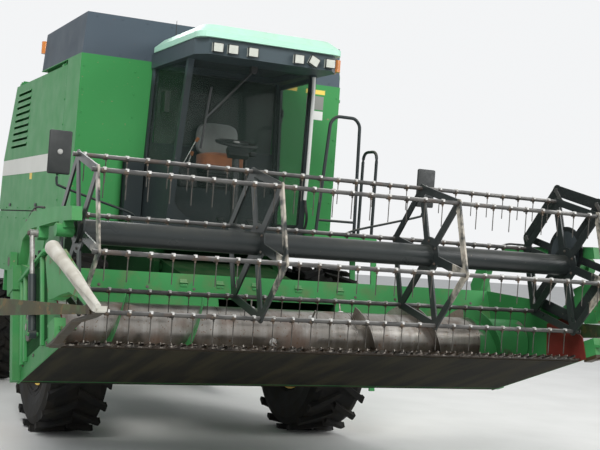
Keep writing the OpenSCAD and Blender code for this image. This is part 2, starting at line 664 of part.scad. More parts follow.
// Hinge axis of the door: x and y
door_axis = [cab_hw + 14, door_y1 + 8];
door_hinge_z = [2300, 3200];
module cab_door() {
  color(charcoal) on_side() union() {
    translate([door_x[0], 0, 0]) rotate([90, 0, 90]) linear_extrude(height = door_x[1] - door_x[0]) difference() {
      door_outline(0);
      door_outline(door_rim);
    }
    for (z = door_hinge_z) difference() {
      union() {
        translate([door_axis[0], door_axis[1], z]) cylinder(r = 12, h = 80, $fn = pin_fn);
        block([cab_hw + 2, cab_hw + 10], [door_y1 - 60, door_axis[1]], [z, z + 80]);
        block([cab_hw - 3, cab_hw + 4], [door_y1 - 60, door_y1], [z, z + 80]);
      }
      translate([door_axis[0], door_axis[1], z - 1]) cylinder(r = 6 + pin_gap, h = 82, $fn = pin_fn);
    }
    block([cab_hw - 3, cab_hw + 30], [-945, -925], [2700, 2860]);
  }
}
module cab_door_glass() {
  color([0.4, 0.5, 0.5, 0.5]) on_side() translate([cab_hw - 18, 0, 0]) rotate([90, 0, 90]) linear_extrude(height = glass_t) door_outline(door_rim);
}
module seat() {
  color([0.55, 0.30, 0.16]) union() {
    block([-230, 230], [-560, -300], [2600, 2690]);
    block([-215, 215], [-330, -230], [2600, 3020]);
    block([-150, 150], [-500, -330], [2400, 2601]);
  }
}
wheel_y = -790;
module steering_column() {
  color(charcoal) union() {
    translate([0, -860, cab_floor_z]) cylinder(r = 60, h = 20, $fn = pin_fn);
    bar([0, -860, cab_floor_z + 6], [0, wheel_y, 2828], 35);
    translate([0, wheel_y, 2840]) rotate([12, 0, 0]) rotate_extrude($fn = 32) translate([190, 0]) circle(r = 14, $fn = 12);
    translate([0, wheel_y, 2840]) rotate([12, 0, 0]) {
      translate([0, 0, -30]) cylinder(r = 48, h = 40, $fn = pin_fn);
      for (a = [30, 150, 270]) rotate([0, 0, a]) block([20, 190], [-12, 12], [-7, 5]);
    }
  }
}
module wiper() {
  color(charcoal) union() {
    bar([-20, lean_y(3490) - 40, 3490], [-420, lean_y(3020) - 16, 3020], 10);
    bar([-400, lean_y(3300) - 12, 3300], [-440, lean_y(2740) - 12, 2740], 10);
    // Motor below the head frame
    translate([-20, lean_y(3490) - 60, 3490]) rotate([-90, 0, 0]) cylinder(r = 30, h = 60, $fn = pin_fn);
    block([-50, 10], [lean_y(3490) - 60, lean_y(3490) - 20], [3490, cab_head_z]);
  }
}
// Line of the ladder, outside the front wheel
ladder_x = front_hub_x + front_wheel_w / 2 + 10;
module service_platform() {
  color(charcoal) union() {
    block([cab_hw + 2, 1200], [-1090, cab_rear + 15], [platform_z - 40, platform_z]);
    block([1199, ladder_x + 40], [-660, cab_rear + 15], [platform_z - 40, platform_z]);
    // Ladder
    for (y = [-660, -200]) side_bar(y);
    for (i = [0 : 4]) block([ladder_x, ladder_x + 140], [-660, -180], [530 + i * 320, 550 + i * 320]);
    for (y = [-900, -420]) block([cab_hw - 60, 1195], [y, y + 60], [platform_z - 90, platform_z - 40]);
    block([1190, ladder_x + 40], [-420, -360], [platform_z - 90, platform_z - 40]);
  }
}
module side_bar(y) {
  translate([0, y + 20, 0]) rotate([90, 0, 0]) linear_extrude(height = 20)
    polygon([[ladder_x - 10, platform_z - 1], [ladder_x + 50, platform_z - 1], [ladder_x + 150, 500], [ladder_x + 90, 500]]);
}
module handrails() {
  r = 16;
  color(charcoal) union() {
    // Loop at the front edge of the platform
    y = -1070;
    tube_run([[760, y, platform_z + 4], [835, y, 3120], [905, y, 3190], [1085, y, 3190], [1150, y, 3120], [1170, y, platform_z + 4]], r);
    rod_x(12, [768, 1166], y, 2180, 16);
    for (x1 = [760, 1170]) rail_foot(x1, y);
    // Grab rail beside the ladder
    x = ladder_x;
    tube_run([[x, -630, platform_z + 4], [x, -630, 2850], [x, -560, 2930], [x, -420, 2930], [x, -340, 2850], [x, -340, platform_z + 4]], r);
    for (y2 = [-630, -340]) rail_foot(x, y2);
  }
}
// Foot plate of a rail on the platform
module rail_foot(x, y) { block([x - 28, x + 28], [y - 24, y + 24], [platform_z, platform_z + 8]); }
// One mirror on its bent arm, ending at a foot on the platform or the step
module mirror_head(foot) {
  block([1670, 1900], [-1330, -1300], [2378, 2746]);
  tube_run([[1785, -1285, 2580], [1785, -1285, 2285], foot + [90, -60, 60], foot + [0, 0, 12]], 11);
  translate([1785, -1301, 2566]) rotate([-90, 0, 0]) cylinder(r = 22, h = 24, $fn = pin_fn);
  translate(foot) cylinder(r = 20, h = 16, $fn = pin_fn);
}
module mirrors() {
  color(charcoal) union() {
    mirror_head([1075, -1062, platform_z]);
    mirror([1, 0, 0]) mirror_head([975, -940, step_z]);
  }
}
// Work lamps: distance from the middle, tilt
lamp_rows = [[-528, 0], [-387, 0], [-198, 0], [249, 0], [399, 25], [561, 0]];
module work_lamps() {
  color([0.8, 0.8, 0.75]) union() for (l = lamp_rows)
    translate([l[0], -visor_front, 3590]) rotate([0, l[1], 0]) block([-45, 45], [-45, 0], [-38, 38]);
}
module signal_lamps() {
  color([0.9, 0.4, 0.1]) union() {
    translate([736, -1290, 3560]) cylinder(r = 45, h = 110, $fn = pin_fn);
    block([690, 730], [-1310, -1270], [3540, 3561]);
    translate([-body_hw + 40, tank_y1 + 51, body_top + 200]) cylinder(r = 50, h = 130, $fn = pin_fn);
    block([-body_hw + 34, -body_hw + 60], [tank_y1, tank_y1 + 60], [body_top + 180, body_top + 201]);
    both_sides() side_profile([[hood_rear(2000) + seat_gap, 2000], [hood_rear(2100) + seat_gap, 2100], [4480, 2100], [4480, 2000]],
      [housing_hw - 120, housing_hw - 20]);
  }
}

// Unloading auger
unload_x = 1565;
unload_y = 640;
unload_z = 3800;
unload_r = 165;
// The stowed tube reaches as far back as the dividers reach forward
cone_run = raised(divider_tip[0], divider_tip[1]) - raised(divider_top[0], divider_top[1]);
unload_end = divider_tip_r * abs(cone_run[1]) / norm(cone_run) - raised(divider_tip[0], divider_tip[1])[0];
module unloading_elbow() {
  color(green) union() {
    translate([unload_x, unload_y, 2300]) cylinder(r = unload_r, h = unload_z - 2300 - 250, $fn = big_fn);
    rod_x(unload_r - 20, [body_hw, unload_x], unload_y, 2480, big_fn);
    translate([unload_x, unload_y, unload_z - 262]) cylinder(r = unload_r + 20, h = 12, $fn = big_fn);
  }
}
module unloading_tube() {
  color(green) union() {
    translate([unload_x, unload_y, unload_z - 250 + seat_gap]) cylinder(r = unload_r + 20, h = 12, $fn = big_fn);
    translate([unload_x, unload_y, unload_z - 250 + seat_gap]) cylinder(r = unload_r, h = 250, $fn = big_fn);
    translate([unload_x, unload_y, unload_z]) sphere(r = unload_r + 1, $fn = 32);
    difference() {
      rod_x_y(unload_r, [unload_y, unload_end], unload_x, unload_z);
      rod_x_y(unload_r - 8, [unload_end - 500, unload_end + 1], unload_x, unload_z);
    }
  }
}

// Feeder and header
module feeder_house() {
  r = 70;
  top = [back_y + sheet_t, mouth_z1 + 22];
  low = [back_y + sheet_t, mouth_z0 - 6];
  heel = [pivot_y + 40, 1060];
  color(green) raise_header() difference() {
    union() {
      side_profile([top, [pivot_y - 24, pivot_z + 66], [pivot_y + 62, pivot_z + 25], heel, low], [-mouth_hw - 10, mouth_hw + 10]);
      rod_x(r, [-mouth_hw - 10, mouth_hw + 10], pivot_y, pivot_z);
      rod_x(40, [-housing_hw + 3, housing_hw - 3], pivot_y, pivot_z);
      both_sides() rod_x(45, [mouth_hw + 9, lift_x - lift_eye_hw - seat_gap], lift_local[0], lift_local[1]);
    }
    side_profile([[back_y + sheet_t - 1, mouth_z1 + 10], [pivot_y - 70, pivot_z - 90], [pivot_y + 90, pivot_z - 90], [pivot_y + 90, heel[1] + 20], [back_y + sheet_t - 1, mouth_z0 + 10]], [-mouth_hw + 2, mouth_hw - 2]);
  }
}
module header_frame() {
  color(green) raise_header() union() {
    difference() {
      block([-header_hw, header_hw], [back_y - 1, back_y + sheet_t], [floor_z - sheet_t, back_top]);
      block([-mouth_hw, mouth_hw], [back_y - 20, back_y + 20], [mouth_z0, mouth_z1]);
    }
    block([-header_hw, header_hw], [knife_y + 1, back_y], [floor_z - sheet_t, floor_z]);
    block([-header_hw, header_hw], [back_y + sheet_t - 1, back_y + sheet_t + 110], [back_top - 110, back_top]);
    rod_x(60, [-header_hw, header_hw], back_y + sheet_t + 58, floor_z + 50);
    both_sides() for (x = [mouth_hw + 100, (mouth_hw + header_hw) / 2, header_hw - 40])
      block([x - 30, x + 30], [back_y + sheet_t - 1, back_y + sheet_t + 80], [floor_z + 60, back_top - 109]);
  }
}
// Rear edge of the end sheets, behind the back sheet's box
end_back = back_y + 118;
module end_sheet() {
  side_profile([[end_back, back_top], [back_y, back_top], [-2789, 793], [knife_y - 90, 420],
    [knife_y - 90, floor_z - sheet_t], [end_back, floor_z - sheet_t]], [header_hw, header_hw + end_t]);
}
module header_end(side) {
  // Outer face of the post that carries the reel arm's hinge
  post_x = arm_out(side) + 60;
  difference() {
    union() {
      end_sheet();
      block([header_hw + end_t - 1, header_hw + 70], [back_y + 20, back_y + 110], [floor_z, back_top]);
      block([header_hw + end_t - 1, post_x], [back_y, arm_pivot_y + 60], [back_top - 200, back_top - 20]);
      block([arm_out(side) + face_gap, post_x], [arm_pivot_y - 60, arm_pivot_y + 60], [back_top - 200, arm_pivot_z + 60]);
      rod_x(60, [header_hw + 1, header_hw + 40], auger_y, auger_z);
      rod_x(15, [header_hw + end_t - 1, cyl_x(side) + 34], reel_foot[0], reel_foot[1]);
    }
    rod_x(25 + pin_gap, [header_hw - 1, header_hw + 60], auger_y, auger_z);
    rod_x(stub_r + pin_gap, [arm_out(side), post_x + 1], arm_pivot_y, arm_pivot_z);
  }
}
module header_ends() {
  color([0.45, 0.1, 0.1]) raise_header() for (side = [0, 1]) mirror([side, 0, 0]) header_end(side);
}
divider_x = header_hw + 100;
module divider() {
  x0 = header_hw + end_t;
  x1 = divider_x;
  // Cone on the ridge of the divider
  a = [x1, divider_top[0], divider_top[1]];
  tip = [x1, divider_tip[0], divider_tip[1]];
  d = tip - a;
  l = norm(d);
  translate(a) rotate([0, acos(d[2] / l), atan2(d[1], d[0])]) cylinder(r1 = 52, r2 = divider_tip_r, h = l, $fn = 24);
  translate(a) sphere(r = 52.6, $fn = 24);
  // Pointed body below the cone
  intersection() {
    side_profile([divider_top, [-3061, 840], [-3144, 526], [-3300, 497], [-3440, 481], [-3690, 434], [-3925, 334],
      [-4099, 229], [-4266, 163], divider_tip], [x0 - 1, x1 + 20]);
    translate([0, 0, 100]) linear_extrude(height = 800)
      polygon([[x0, -3000], [x1 + 4, -3000], [x1 + 12, -4320], [x1 - 12, -4320], [x0, -3250]]);
  }
  // Plate that carries it on the end sheet
  side_profile([[-3250, 838], [-2800, 700], [-2900, 590], [-3300, 503]], [x0, x0 + 10]);
  // Outer deflector board with its stay
  intersection() {
    translate([0, 0, 150]) linear_extrude(height = 600)
      polygon([[x1 - 9, -4180], [x1 + 5, -4180], [x1 + 130, -3500], [x1 + 262, -2794], [x1 + 292, -2450],
        [x1 + 280, -2450], [x1 + 250, -2794], [x1 + 118, -3500]]);
    side_profile([[-4160, 224], [-2450, 720], [-2450, 580], [-4160, 178]], [x1 - 20, x1 + 300]);
  }
  rod_x(16, [x0, x1 + 279], -2540, 630, 16);
  // Skid below, carried by a bracket and a slanted strip
  side_profile([divider_tip, [-4295, 160], [-4088, 178], [-3731, 235], [-3388, 230], [-3233, 214], [-3060, 230],
    [-3060, 245], [-3233, 230], [-3388, 245], [-3731, 250], [-4088, 193]], [x0 + 30, x0 + 90]);
  block([x0, x0 + 75], [-3226, -3070], [222, 389]);
  side_profile([[-2905, 418], [-2905, 400], [-3490, 240], [-3490, 262]], [x0, x0 + 45]);
}
module dividers() { color(green) raise_header() both_sides() divider(); }
module cutterbar() {
  n = floor(header_hw / guard_pitch) - 1;
  color(steel) raise_header() union() {
    block([-header_hw + 2, header_hw - 2], [knife_y - 30, knife_y + 50], [floor_z + 0.2, floor_z + 12]);
    for (i = [-n : n]) translate([i * guard_pitch, knife_y - 29, floor_z + 3]) linear_extrude(height = 16)
      polygon([[-62, 10], [62, 10], [62, -5], [50, -20], [42, -95], [34, -95], [26, -20], [-26, -20], [-34, -95], [-42, -95], [-50, -20], [-62, -5]]);
  }
}
auger_hw = header_hw - 12;
flight_turns = 3;
flight_len = auger_hw - mouth_hw + 60;
flight_t = 8;
flight_steps = 22;
// One helical flight, a thin band wound round the drum and closed at both ends
module flight_half() {
  n = flight_turns * flight_steps;
  corners = [[drum_r - 6, -flight_t / 2], [flight_r, -flight_t / 2], [flight_r, flight_t / 2], [drum_r - 6, flight_t / 2]];
  points = [for (i = [0 : n]) let (a = 360 * i / flight_steps) for (c = corners)
    [auger_hw - flight_t - flight_len * i / n + c[1], c[0] * cos(a), c[0] * sin(a)]];
  sides = [for (i = [0 : n - 1]) for (k = [0 : 3]) let (a = 4 * i + k, b = 4 * i + (k + 1) % 4)
    for (f = [[a, b, b + 4], [a, b + 4, a + 4]]) f];
  polyhedron(points, concat([[3, 2, 1, 0]], sides, [[4 * n, 4 * n + 1, 4 * n + 2, 4 * n + 3]]));
}
module header_auger() {
  color(steel) raise_header() translate([0, auger_y, auger_z]) union() {
    rod_x(drum_r, [-auger_hw, auger_hw], 0, 0, big_fn);
    rod_x(25, [-header_hw - 45, header_hw + 45], 0, 0);
    both_sides() flight_half();
    for (i = [0 : 7]) rotate([i * 100, 0, 0]) translate([-420 + i * 120, 0, 0]) cylinder(r = 8, h = flight_r - 4, $fn = 16);
  }
}

// Lift cylinders of the header, one on each side below the feeder
lift_x = 585;
lift_eye_hw = 28;
lift_local = [-1500, 620];
lift_eye = raised(lift_local[0], lift_local[1]);
lift_d = [lift_eye[0] - lift_y_z[0], lift_eye[1] - lift_y_z[1]];
lift_l = norm(lift_d);
lift_a = atan2(lift_d[1], -lift_d[0]);
module along_lift() {
  translate([0, lift_y_z[0], lift_y_z[1]]) rotate([90 - lift_a, 0, 0]) children();
}
module lift_barrels() {
  color(charcoal) both_sides() along_lift() difference() {
    union() {
      rod_x(46, [lift_x - 22, lift_x + 22], 0, 0);
      translate([lift_x, 0, 40]) cylinder(r = 45, h = lift_l * 0.56, $fn = pin_fn);
    }
    rod_x(30 + pin_gap, [lift_x - 30, lift_x + 30], 0, 0);
    translate([lift_x, 0, 90]) cylinder(r = 26 + pin_gap, h = lift_l, $fn = pin_fn);
  }
}
module lift_rods() {
  color(steel) both_sides() along_lift() union() {
    translate([lift_x, 0, 470]) cylinder(r = 26, h = lift_l - 470, $fn = pin_fn);
    rod_x(40, [lift_x - lift_eye_hw, lift_x + lift_eye_hw], 0, lift_l);
  }
}

// Reel
module reel_arm(side) {
  x0 = arm_in(side);
  x1 = arm_out(side);
  side_profile([
    [arm_pivot_y + 70, arm_pivot_z - 55], [arm_pivot_y + 70, arm_pivot_z + 55], [-1812, 1431], [-2262, 1446], [-2966, 1246],
    [-3421, 1098], [-3418, 1001], [-2964, 1136], [-2490, 1257], [-2480, 1175], [-2410, 1175], [-2400, 1280], [-2196, 1332],
    [-1922, 1331], [-1775, 1165]
  ], [x0, x1]);
  // Sleeve below the arm with the stub on which the reel turns
  side_profile([[reel_y - 60, reel_z], [reel_y + 60, reel_z], [reel_y + 60, reel_z + 85], [reel_y - 60, reel_z + 60]], [x0, x1]);
  rod_x(46, [x0 - 10, x1 + 40], reel_y, reel_z);
  rod_x(stub_r, [spider_end + 30 - stub_len, x0], reel_y, reel_z);
  rod_x(stub_r, [x1 - 1, x1 + 45], arm_pivot_y, arm_pivot_z);
}
module reel_arms() {
  color(green) union() {
    raise_header() for (side = [0, 1]) mirror([side, 0, 0]) reel_arm(side);
    // Hydraulic motor on the left
    raise_header() rod_x(75, [arm_out(0) + 39, arm_out(0) + 110], reel_y, reel_z, big_fn);
    on_reel() translate([eccentric_x, crank[0], crank[1]]) rotate([90, 0, 90]) cylinder(r = disc_r, h = eccentric_t, $fn = big_fn);
  }
}
module reel_barrels() {
  color(charcoal) raise_header() for (side = [0, 1]) mirror([side, 0, 0]) difference() {
    union() {
      translate([cyl_x(side), reel_foot[0], reel_foot[1] + 20]) cylinder(r = 29, h = 420, $fn = pin_fn);
      rod_x(32, [cyl_x(side) - 24, cyl_x(side) + 24], reel_foot[0], reel_foot[1]);
    }
    translate([cyl_x(side), reel_foot[0], reel_foot[1] + 50]) cylinder(r = 18 + pin_gap, h = 500, $fn = pin_fn);
    rod_x(15 + pin_gap, [cyl_x(side) - 30, cyl_x(side) + 30], reel_foot[0], reel_foot[1]);
  }
}
module reel_rods() {
  color(steel) raise_header() for (side = [0, 1]) mirror([side, 0, 0]) {
    translate([cyl_x(side), reel_foot[0], reel_foot[1] + 60]) cylinder(r = 18, h = reel_eye[1] - reel_foot[1] - 62, $fn = pin_fn);
    rod_x(28, [arm_out(side) + seat_gap, cyl_x(side) + 19], reel_eye[0], reel_eye[1]);
  }
}
function bat_at(i) = [-cos(bat_angle0 + i * 60) * reel_r, sin(bat_angle0 + i * 60) * reel_r];
// One spider: hexagon rim, six spokes and a hub disc
module spider_shape(rim_w, spoke_w, bore) {
  difference() {
    union() {
      for (i = [0 : bats - 1]) {
        link_2d(bat_at(i), bat_at(i + 1), rim_w);
        link_2d([0, 0], bat_at(i), spoke_w);
      }
      circle(r = 150, $fn = 32);
      for (i = [0 : bats - 1]) translate(bat_at(i)) circle(r = 34, $fn = 32);
    }
    for (i = [0 : bats - 1]) translate(bat_at(i)) circle(r = bore, $fn = 32);
  }
}
module link_2d(a, b, w) {
  d = b - a;
  translate(a) rotate([0, 0, atan2(d[1], d[0])]) translate([0, -w / 2]) square([norm(d), w]);
}
module on_reel() { translate([0, reel_axis[0], reel_axis[1]]) children(); }
module reel_frame() {
  tube_end = spider_end + 30;
  color(charcoal) on_reel() difference() {
    union() {
      rod_x(reel_tube_r, [-tube_end, tube_end], 0, 0, big_fn);
      for (x = spider_x) translate([x - spider_t / 2, 0, 0]) rotate([90, 0, 90]) linear_extrude(height = spider_t)
        spider_shape(58, 66, bat_r + pin_gap);
    }
    both_sides() rod_x(stub_r + pin_gap, [tube_end - stub_len - 5, tube_end + 1], 0, 0);
  }
}
module reel_eccentric() {
  color(charcoal) on_reel() translate([eccentric_x, crank[0], crank[1]]) rotate([90, 0, 90]) linear_extrude(height = eccentric_t)
    difference() {
      union() {
        for (i = [0 : bats - 1]) {
          link_2d(bat_at(i), bat_at(i + 1), 90);
          link_2d([0, 0], bat_at(i), 60);
          translate(bat_at(i)) circle(r = 50, $fn = 32);
        }
        circle(r = disc_r + 40, $fn = big_fn);
      }
      circle(r = disc_r + pin_gap, $fn = big_fn);
      for (i = [0 : bats - 1]) translate(bat_at(i)) circle(r = 12 + pin_gap, $fn = 32);
    }
}
tines = floor((spider_x[3] - spider_x[0]) / tine_pitch);
module reel_bat(i) {
  color(steel) on_reel() translate([0, bat_at(i)[0], bat_at(i)[1]]) union() {
    rod_x(bat_r, [bat_x0, eccentric_x - 12], 0, 0);
    for (k = [0 : tines]) translate([spider_x[0] + 45 + k * tine_pitch, 0, -tine_len]) cylinder(r = 4, h = tine_len - 10, $fn = 6);
    // Crank to the eccentric
    translate([eccentric_x - 12, 0, 0]) rotate([90, 0, 90]) linear_extrude(height = 9) union() {
      link_2d([0, 0], crank, 32);
      circle(r = 24, $fn = 32);
      translate(crank) circle(r = 20, $fn = 32);
    }
    rod_x(12, [eccentric_x - 5, eccentric_x + eccentric_t + 4], crank[0], crank[1]);
  }
}
module reel_bat_1() { reel_bat(0); }
module reel_bat_2() { reel_bat(1); }
module reel_bat_3() { reel_bat(2); }
module reel_bat_4() { reel_bat(3); }
module reel_bat_5() { reel_bat(4); }
module reel_bat_6() { reel_bat(5); }

chassis_frame();
front_axle();
rear_axle();
engine_block();
threshing_housing();
grain_tank();
tank_extension();
lower_panels();
rear_hood();
engine_deck();
cab_base();
cab_frame();
cab_roof();
cab_glass();
seat();
steering_column();
service_platform();
handrails();
mirrors();
work_lamps();
signal_lamps();
wiper();
unloading_elbow();
unloading_tube();
cab_door();
cab_door_glass();
side_shield_right();
side_shield_left();
front_tyre_right();
front_tyre_left();
front_rim_right();
front_rim_left();
rear_tyre_right();
rear_tyre_left();
rear_rim_right();
rear_rim_left();
knuckle_right();
knuckle_left();
tie_rod();
feeder_house();
header_frame();
header_ends();
dividers();
cutterbar();
header_auger();
lift_barrels();
lift_rods();
reel_arms();
reel_barrels();
reel_rods();
reel_frame();
reel_eccentric();
reel_bat_1();
reel_bat_2();
reel_bat_3();
reel_bat_4();
reel_bat_5();
reel_bat_6();
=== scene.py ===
"""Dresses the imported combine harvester: a finish for every CAD node, trim, auger, seat and the stage."""

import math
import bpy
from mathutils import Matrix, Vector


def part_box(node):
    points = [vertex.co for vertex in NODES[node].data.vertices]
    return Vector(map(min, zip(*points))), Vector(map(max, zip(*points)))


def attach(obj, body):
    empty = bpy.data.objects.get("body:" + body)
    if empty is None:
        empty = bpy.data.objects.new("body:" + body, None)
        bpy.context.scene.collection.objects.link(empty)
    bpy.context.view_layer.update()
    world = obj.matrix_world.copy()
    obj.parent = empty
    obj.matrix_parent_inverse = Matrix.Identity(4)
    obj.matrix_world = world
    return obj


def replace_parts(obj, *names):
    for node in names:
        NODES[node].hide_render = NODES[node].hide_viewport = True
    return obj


bl_info = {
    "name": "Combine Harvester Dressing",
    "version": (1, 0, 0),
    "blender": (4, 5, 0),
    "location": "3D View > Sidebar > Harvester",
    "description": "Paints and trims a combine harvester built on a packed CAD frame",
    "category": "Object",
}

import bpy
import bmesh
from mathutils import Matrix, Vector

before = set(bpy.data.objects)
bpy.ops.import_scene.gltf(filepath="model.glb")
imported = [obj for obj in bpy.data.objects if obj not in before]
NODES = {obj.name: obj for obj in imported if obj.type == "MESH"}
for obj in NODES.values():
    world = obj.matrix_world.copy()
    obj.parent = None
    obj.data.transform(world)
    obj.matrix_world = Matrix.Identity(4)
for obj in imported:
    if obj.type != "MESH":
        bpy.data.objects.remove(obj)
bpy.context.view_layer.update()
MATS = {}

# Places and sizes that more than one step uses, in metres; a pair is a place's Y and Z
SIDES = ((-1, "right"), (1, "left"))
HEADER_RAISE = math.radians(19)
HEADER_TILT = (-HEADER_RAISE, 0, 0)
PIVOT = (-0.470, 1.620)
TINE_PITCH = 0.1524
KNIFE_PITCH = TINE_PITCH / 2
SPIDERS_X = (-2.045, -0.730, 0.730, 2.045)
MIRROR_X = 1.785
HEADER_SIDE_X = 2.160

# The camera that took the photograph, solved from the part's own sizes
CAM_AT = Vector((-3.98585, -10.90616, 1.95565))
CAM_YAW, CAM_PITCH, CAM_ROLL = math.radians(24.9539), math.radians(0.8770), math.radians(4.1530)
CAM_PIXELS, CAM_SENSOR = 600, 36.0
CAM_LENS = 1149.98 / CAM_PIXELS * CAM_SENSOR
CAM_SHIFT = -0.5 / CAM_PIXELS


def raised(y, z):
    """A place in the level header's own frame, as it stands when raised."""
    dy, dz = y - PIVOT[0], z - PIVOT[1]
    return (PIVOT[0] + dy * math.cos(HEADER_RAISE) + dz * math.sin(HEADER_RAISE),
            PIVOT[1] - dy * math.sin(HEADER_RAISE) + dz * math.cos(HEADER_RAISE))


REEL_AT = raised(-3.139, 1.020)
AUGER_AT = raised(-2.186, 0.575)
BAT_RING, BAT_RADIUS, FIRST_BAT = 0.557, 0.018, 47.6
BATS = [(REEL_AT[0] - BAT_RING * math.cos(a), REEL_AT[1] + BAT_RING * math.sin(a))
        for a in (math.radians(FIRST_BAT + 60 * i) for i in range(6))]
DRUM_R, FLIGHT_R = 0.212, 0.298


def by_member(groups):
    """Turns {group: members} into {member: group}."""
    return {member: group for group, members in groups.items() for member in members}


# Which finish each CAD node gets; tyres, rims and bats are told by their names
FINISH_OF = by_member({
    "green_header": ("chassis_frame", "front_axle", "rear_axle", "knuckle_right", "knuckle_left"),
    "green_body": ("grain_tank", "lower_panels", "rear_hood", "engine_deck", "unloading_elbow",
                   "unloading_tube", "side_shield_right", "side_shield_left"),
    "cab_dark": ("cab_base", "cab_frame", "cab_door", "handrails", "tie_rod", "lift_barrels", "reel_barrels"),
    # The threshing housing and feeder house get near-black green: painted shade of the dark throat under the
    # cab.
    "feeder_paint": ("threshing_housing", "feeder_house"),
    "cab_window": ("cab_glass", "cab_door_glass"),
    "moulded_plastic": ("steering_column", "mirrors", "wiper"),
    "dull_cast": ("engine_block",),
    "tank_dark": ("tank_extension",),
    "pale_roof": ("cab_roof",),
    "seat_weave": ("seat",),
    "green_platform": ("service_platform",),
    "lamp_glass": ("work_lamps",),
    "amber_glass": ("signal_lamps",),
    "trough_sheet": ("header_frame",),
    "header_ends": ("header_ends",),
    "divider_paint": ("dividers",),
    "guard_cast": ("cutterbar",),
    "auger_steel": ("header_auger",),
    "bright_chrome": ("lift_rods",),
    "arm_paint": ("reel_arms",),
    "zinc_rod": ("reel_rods",),
    "reel_spider": ("reel_frame",),
    "reel_dark": ("reel_eccentric",),
})


def finish_of(node):
    if "tyre" in node:
        return "tyre_rubber"
    if "rim" in node:
        return "yellow_rim"
    if node.startswith("reel_bat"):
        return "bat_steel_" + node[-1]
    return FINISH_OF[node]


# Shader expressions

class Sock:
    """A value socket of a material, with the arithmetic that the finishes use."""

    def __init__(self, mat, socket):
        self.mat = mat
        self.socket = socket

    def __add__(self, other):
        return self.mat.maths("ADD", self, other)

    def __sub__(self, other):
        return self.mat.maths("SUBTRACT", self, other)

    def __rsub__(self, other):
        return self.mat.maths("SUBTRACT", other, self)

    def __mul__(self, other):
        return self.mat.maths("MULTIPLY", self, other)

    def __pow__(self, other):
        return self.mat.maths("POWER", self, other)

    __radd__ = __add__
    __rmul__ = __mul__

    def over(self, edge):
        """1 where the value is above the edge."""
        return self.mat.maths("GREATER_THAN", self, edge)

    def within(self, low, high):
        """1 where the value lies between two limits."""
        return self.over(low) * (1.0 - self.over(high))

    def size(self):
        return self.mat.maths("ABSOLUTE", self)

    def lift(self, low, high, out_low=0.0, out_high=1.0):
        """Maps low..high to out_low..out_high, clamped."""
        return self.mat.node("ShaderNodeMapRange", {"clamp": True}, (self, low, high, out_low, out_high))


class Finish:
    """One procedural material on a Principled shader."""

    def __init__(self, name, rough=0.5, metal=0.0, **fixed):
        self.material = bpy.data.materials.new(name)
        self.material.use_nodes = True
        self.tree = self.material.node_tree
        self.shader = self.tree.nodes["Principled BSDF"]
        for key, value in {"Roughness": rough, "Metallic": metal, **fixed}.items():
            self.shader.inputs[key.replace("_", " ")].default_value = value
        self.place = self.node("ShaderNodeTexCoord", {}, (), out="Object")
        MATS[name] = self.material

    def node(self, kind, settings, values, out=0):
        """Adds a node: its settings first, then the values or links of its sockets."""
        made = self.tree.nodes.new(kind)
        for key, value in settings.items():
            setattr(made, key, value)
        for key, value in values.items() if isinstance(values, dict) else enumerate(values):
            self.feed(made.inputs[key], value)
        return Sock(self, made.outputs[out])

    def maths(self, operation, *values):
        return self.node("ShaderNodeMath", {"operation": operation}, values)

    def feed(self, socket, value):
        if isinstance(value, Sock):
            self.tree.links.new(value.socket, socket)
        else:
            socket.default_value = value

    def mapped(self, scale, turn=0.0):
        """The object's places, scaled and turned about Z."""
        values = {"Vector": self.place, "Rotation": (0.0, 0.0, turn), "Scale": scale}
        return self.node("ShaderNodeMapping", {}, values, out="Vector")

    def noise(self, scale, detail=3.0, stretch=None, rough=0.55, turn=0.0):
        at = self.mapped(stretch, turn) if stretch else self.place
        values = {"Vector": at, "Scale": scale, "Detail": detail, "Roughness": rough}
        return self.node("ShaderNodeTexNoise", {}, values, out="Fac")

    def waves(self, scale, direction):
        return self.node("ShaderNodeTexWave", {"bands_direction": direction},
                         {"Vector": self.place, "Scale": scale}, out="Fac")

    def axis(self, letter):
        return self.node("ShaderNodeSeparateXYZ", {}, (self.place,), out=letter)

    def facing(self, letter):
        normal = self.node("ShaderNodeTexCoord", {}, (), out="Normal")
        return self.node("ShaderNodeSeparateXYZ", {}, (normal,), out=letter)

    def mix(self, mask, a, b):
        """Colour a where mask is 0 and b where it is 1."""
        made = self.tree.nodes.new("ShaderNodeMix")
        made.data_type = "RGBA"
        made.clamp_factor = True
        self.feed(made.inputs[0], mask)
        for socket, colour in ((made.inputs[6], a), (made.inputs[7], b)):
            self.feed(socket, colour if isinstance(colour, Sock) else (*colour, 1.0))
        return Sock(self, made.outputs[2])

    def base(self):
        """The colour that now feeds the shader."""
        return Sock(self, self.shader.inputs["Base Color"].links[0].from_socket)

    def colour(self, value):
        self.feed(self.shader.inputs["Base Color"], value)

    def rough(self, value):
        self.feed(self.shader.inputs["Roughness"], value)

    def metal(self, value):
        self.feed(self.shader.inputs["Metallic"], value)

    def bump(self, height, strength, distance):
        values = {"Strength": strength, "Distance": distance, "Height": height}
        self.feed(self.shader.inputs["Normal"], self.node("ShaderNodeBump", {}, values, out="Normal"))


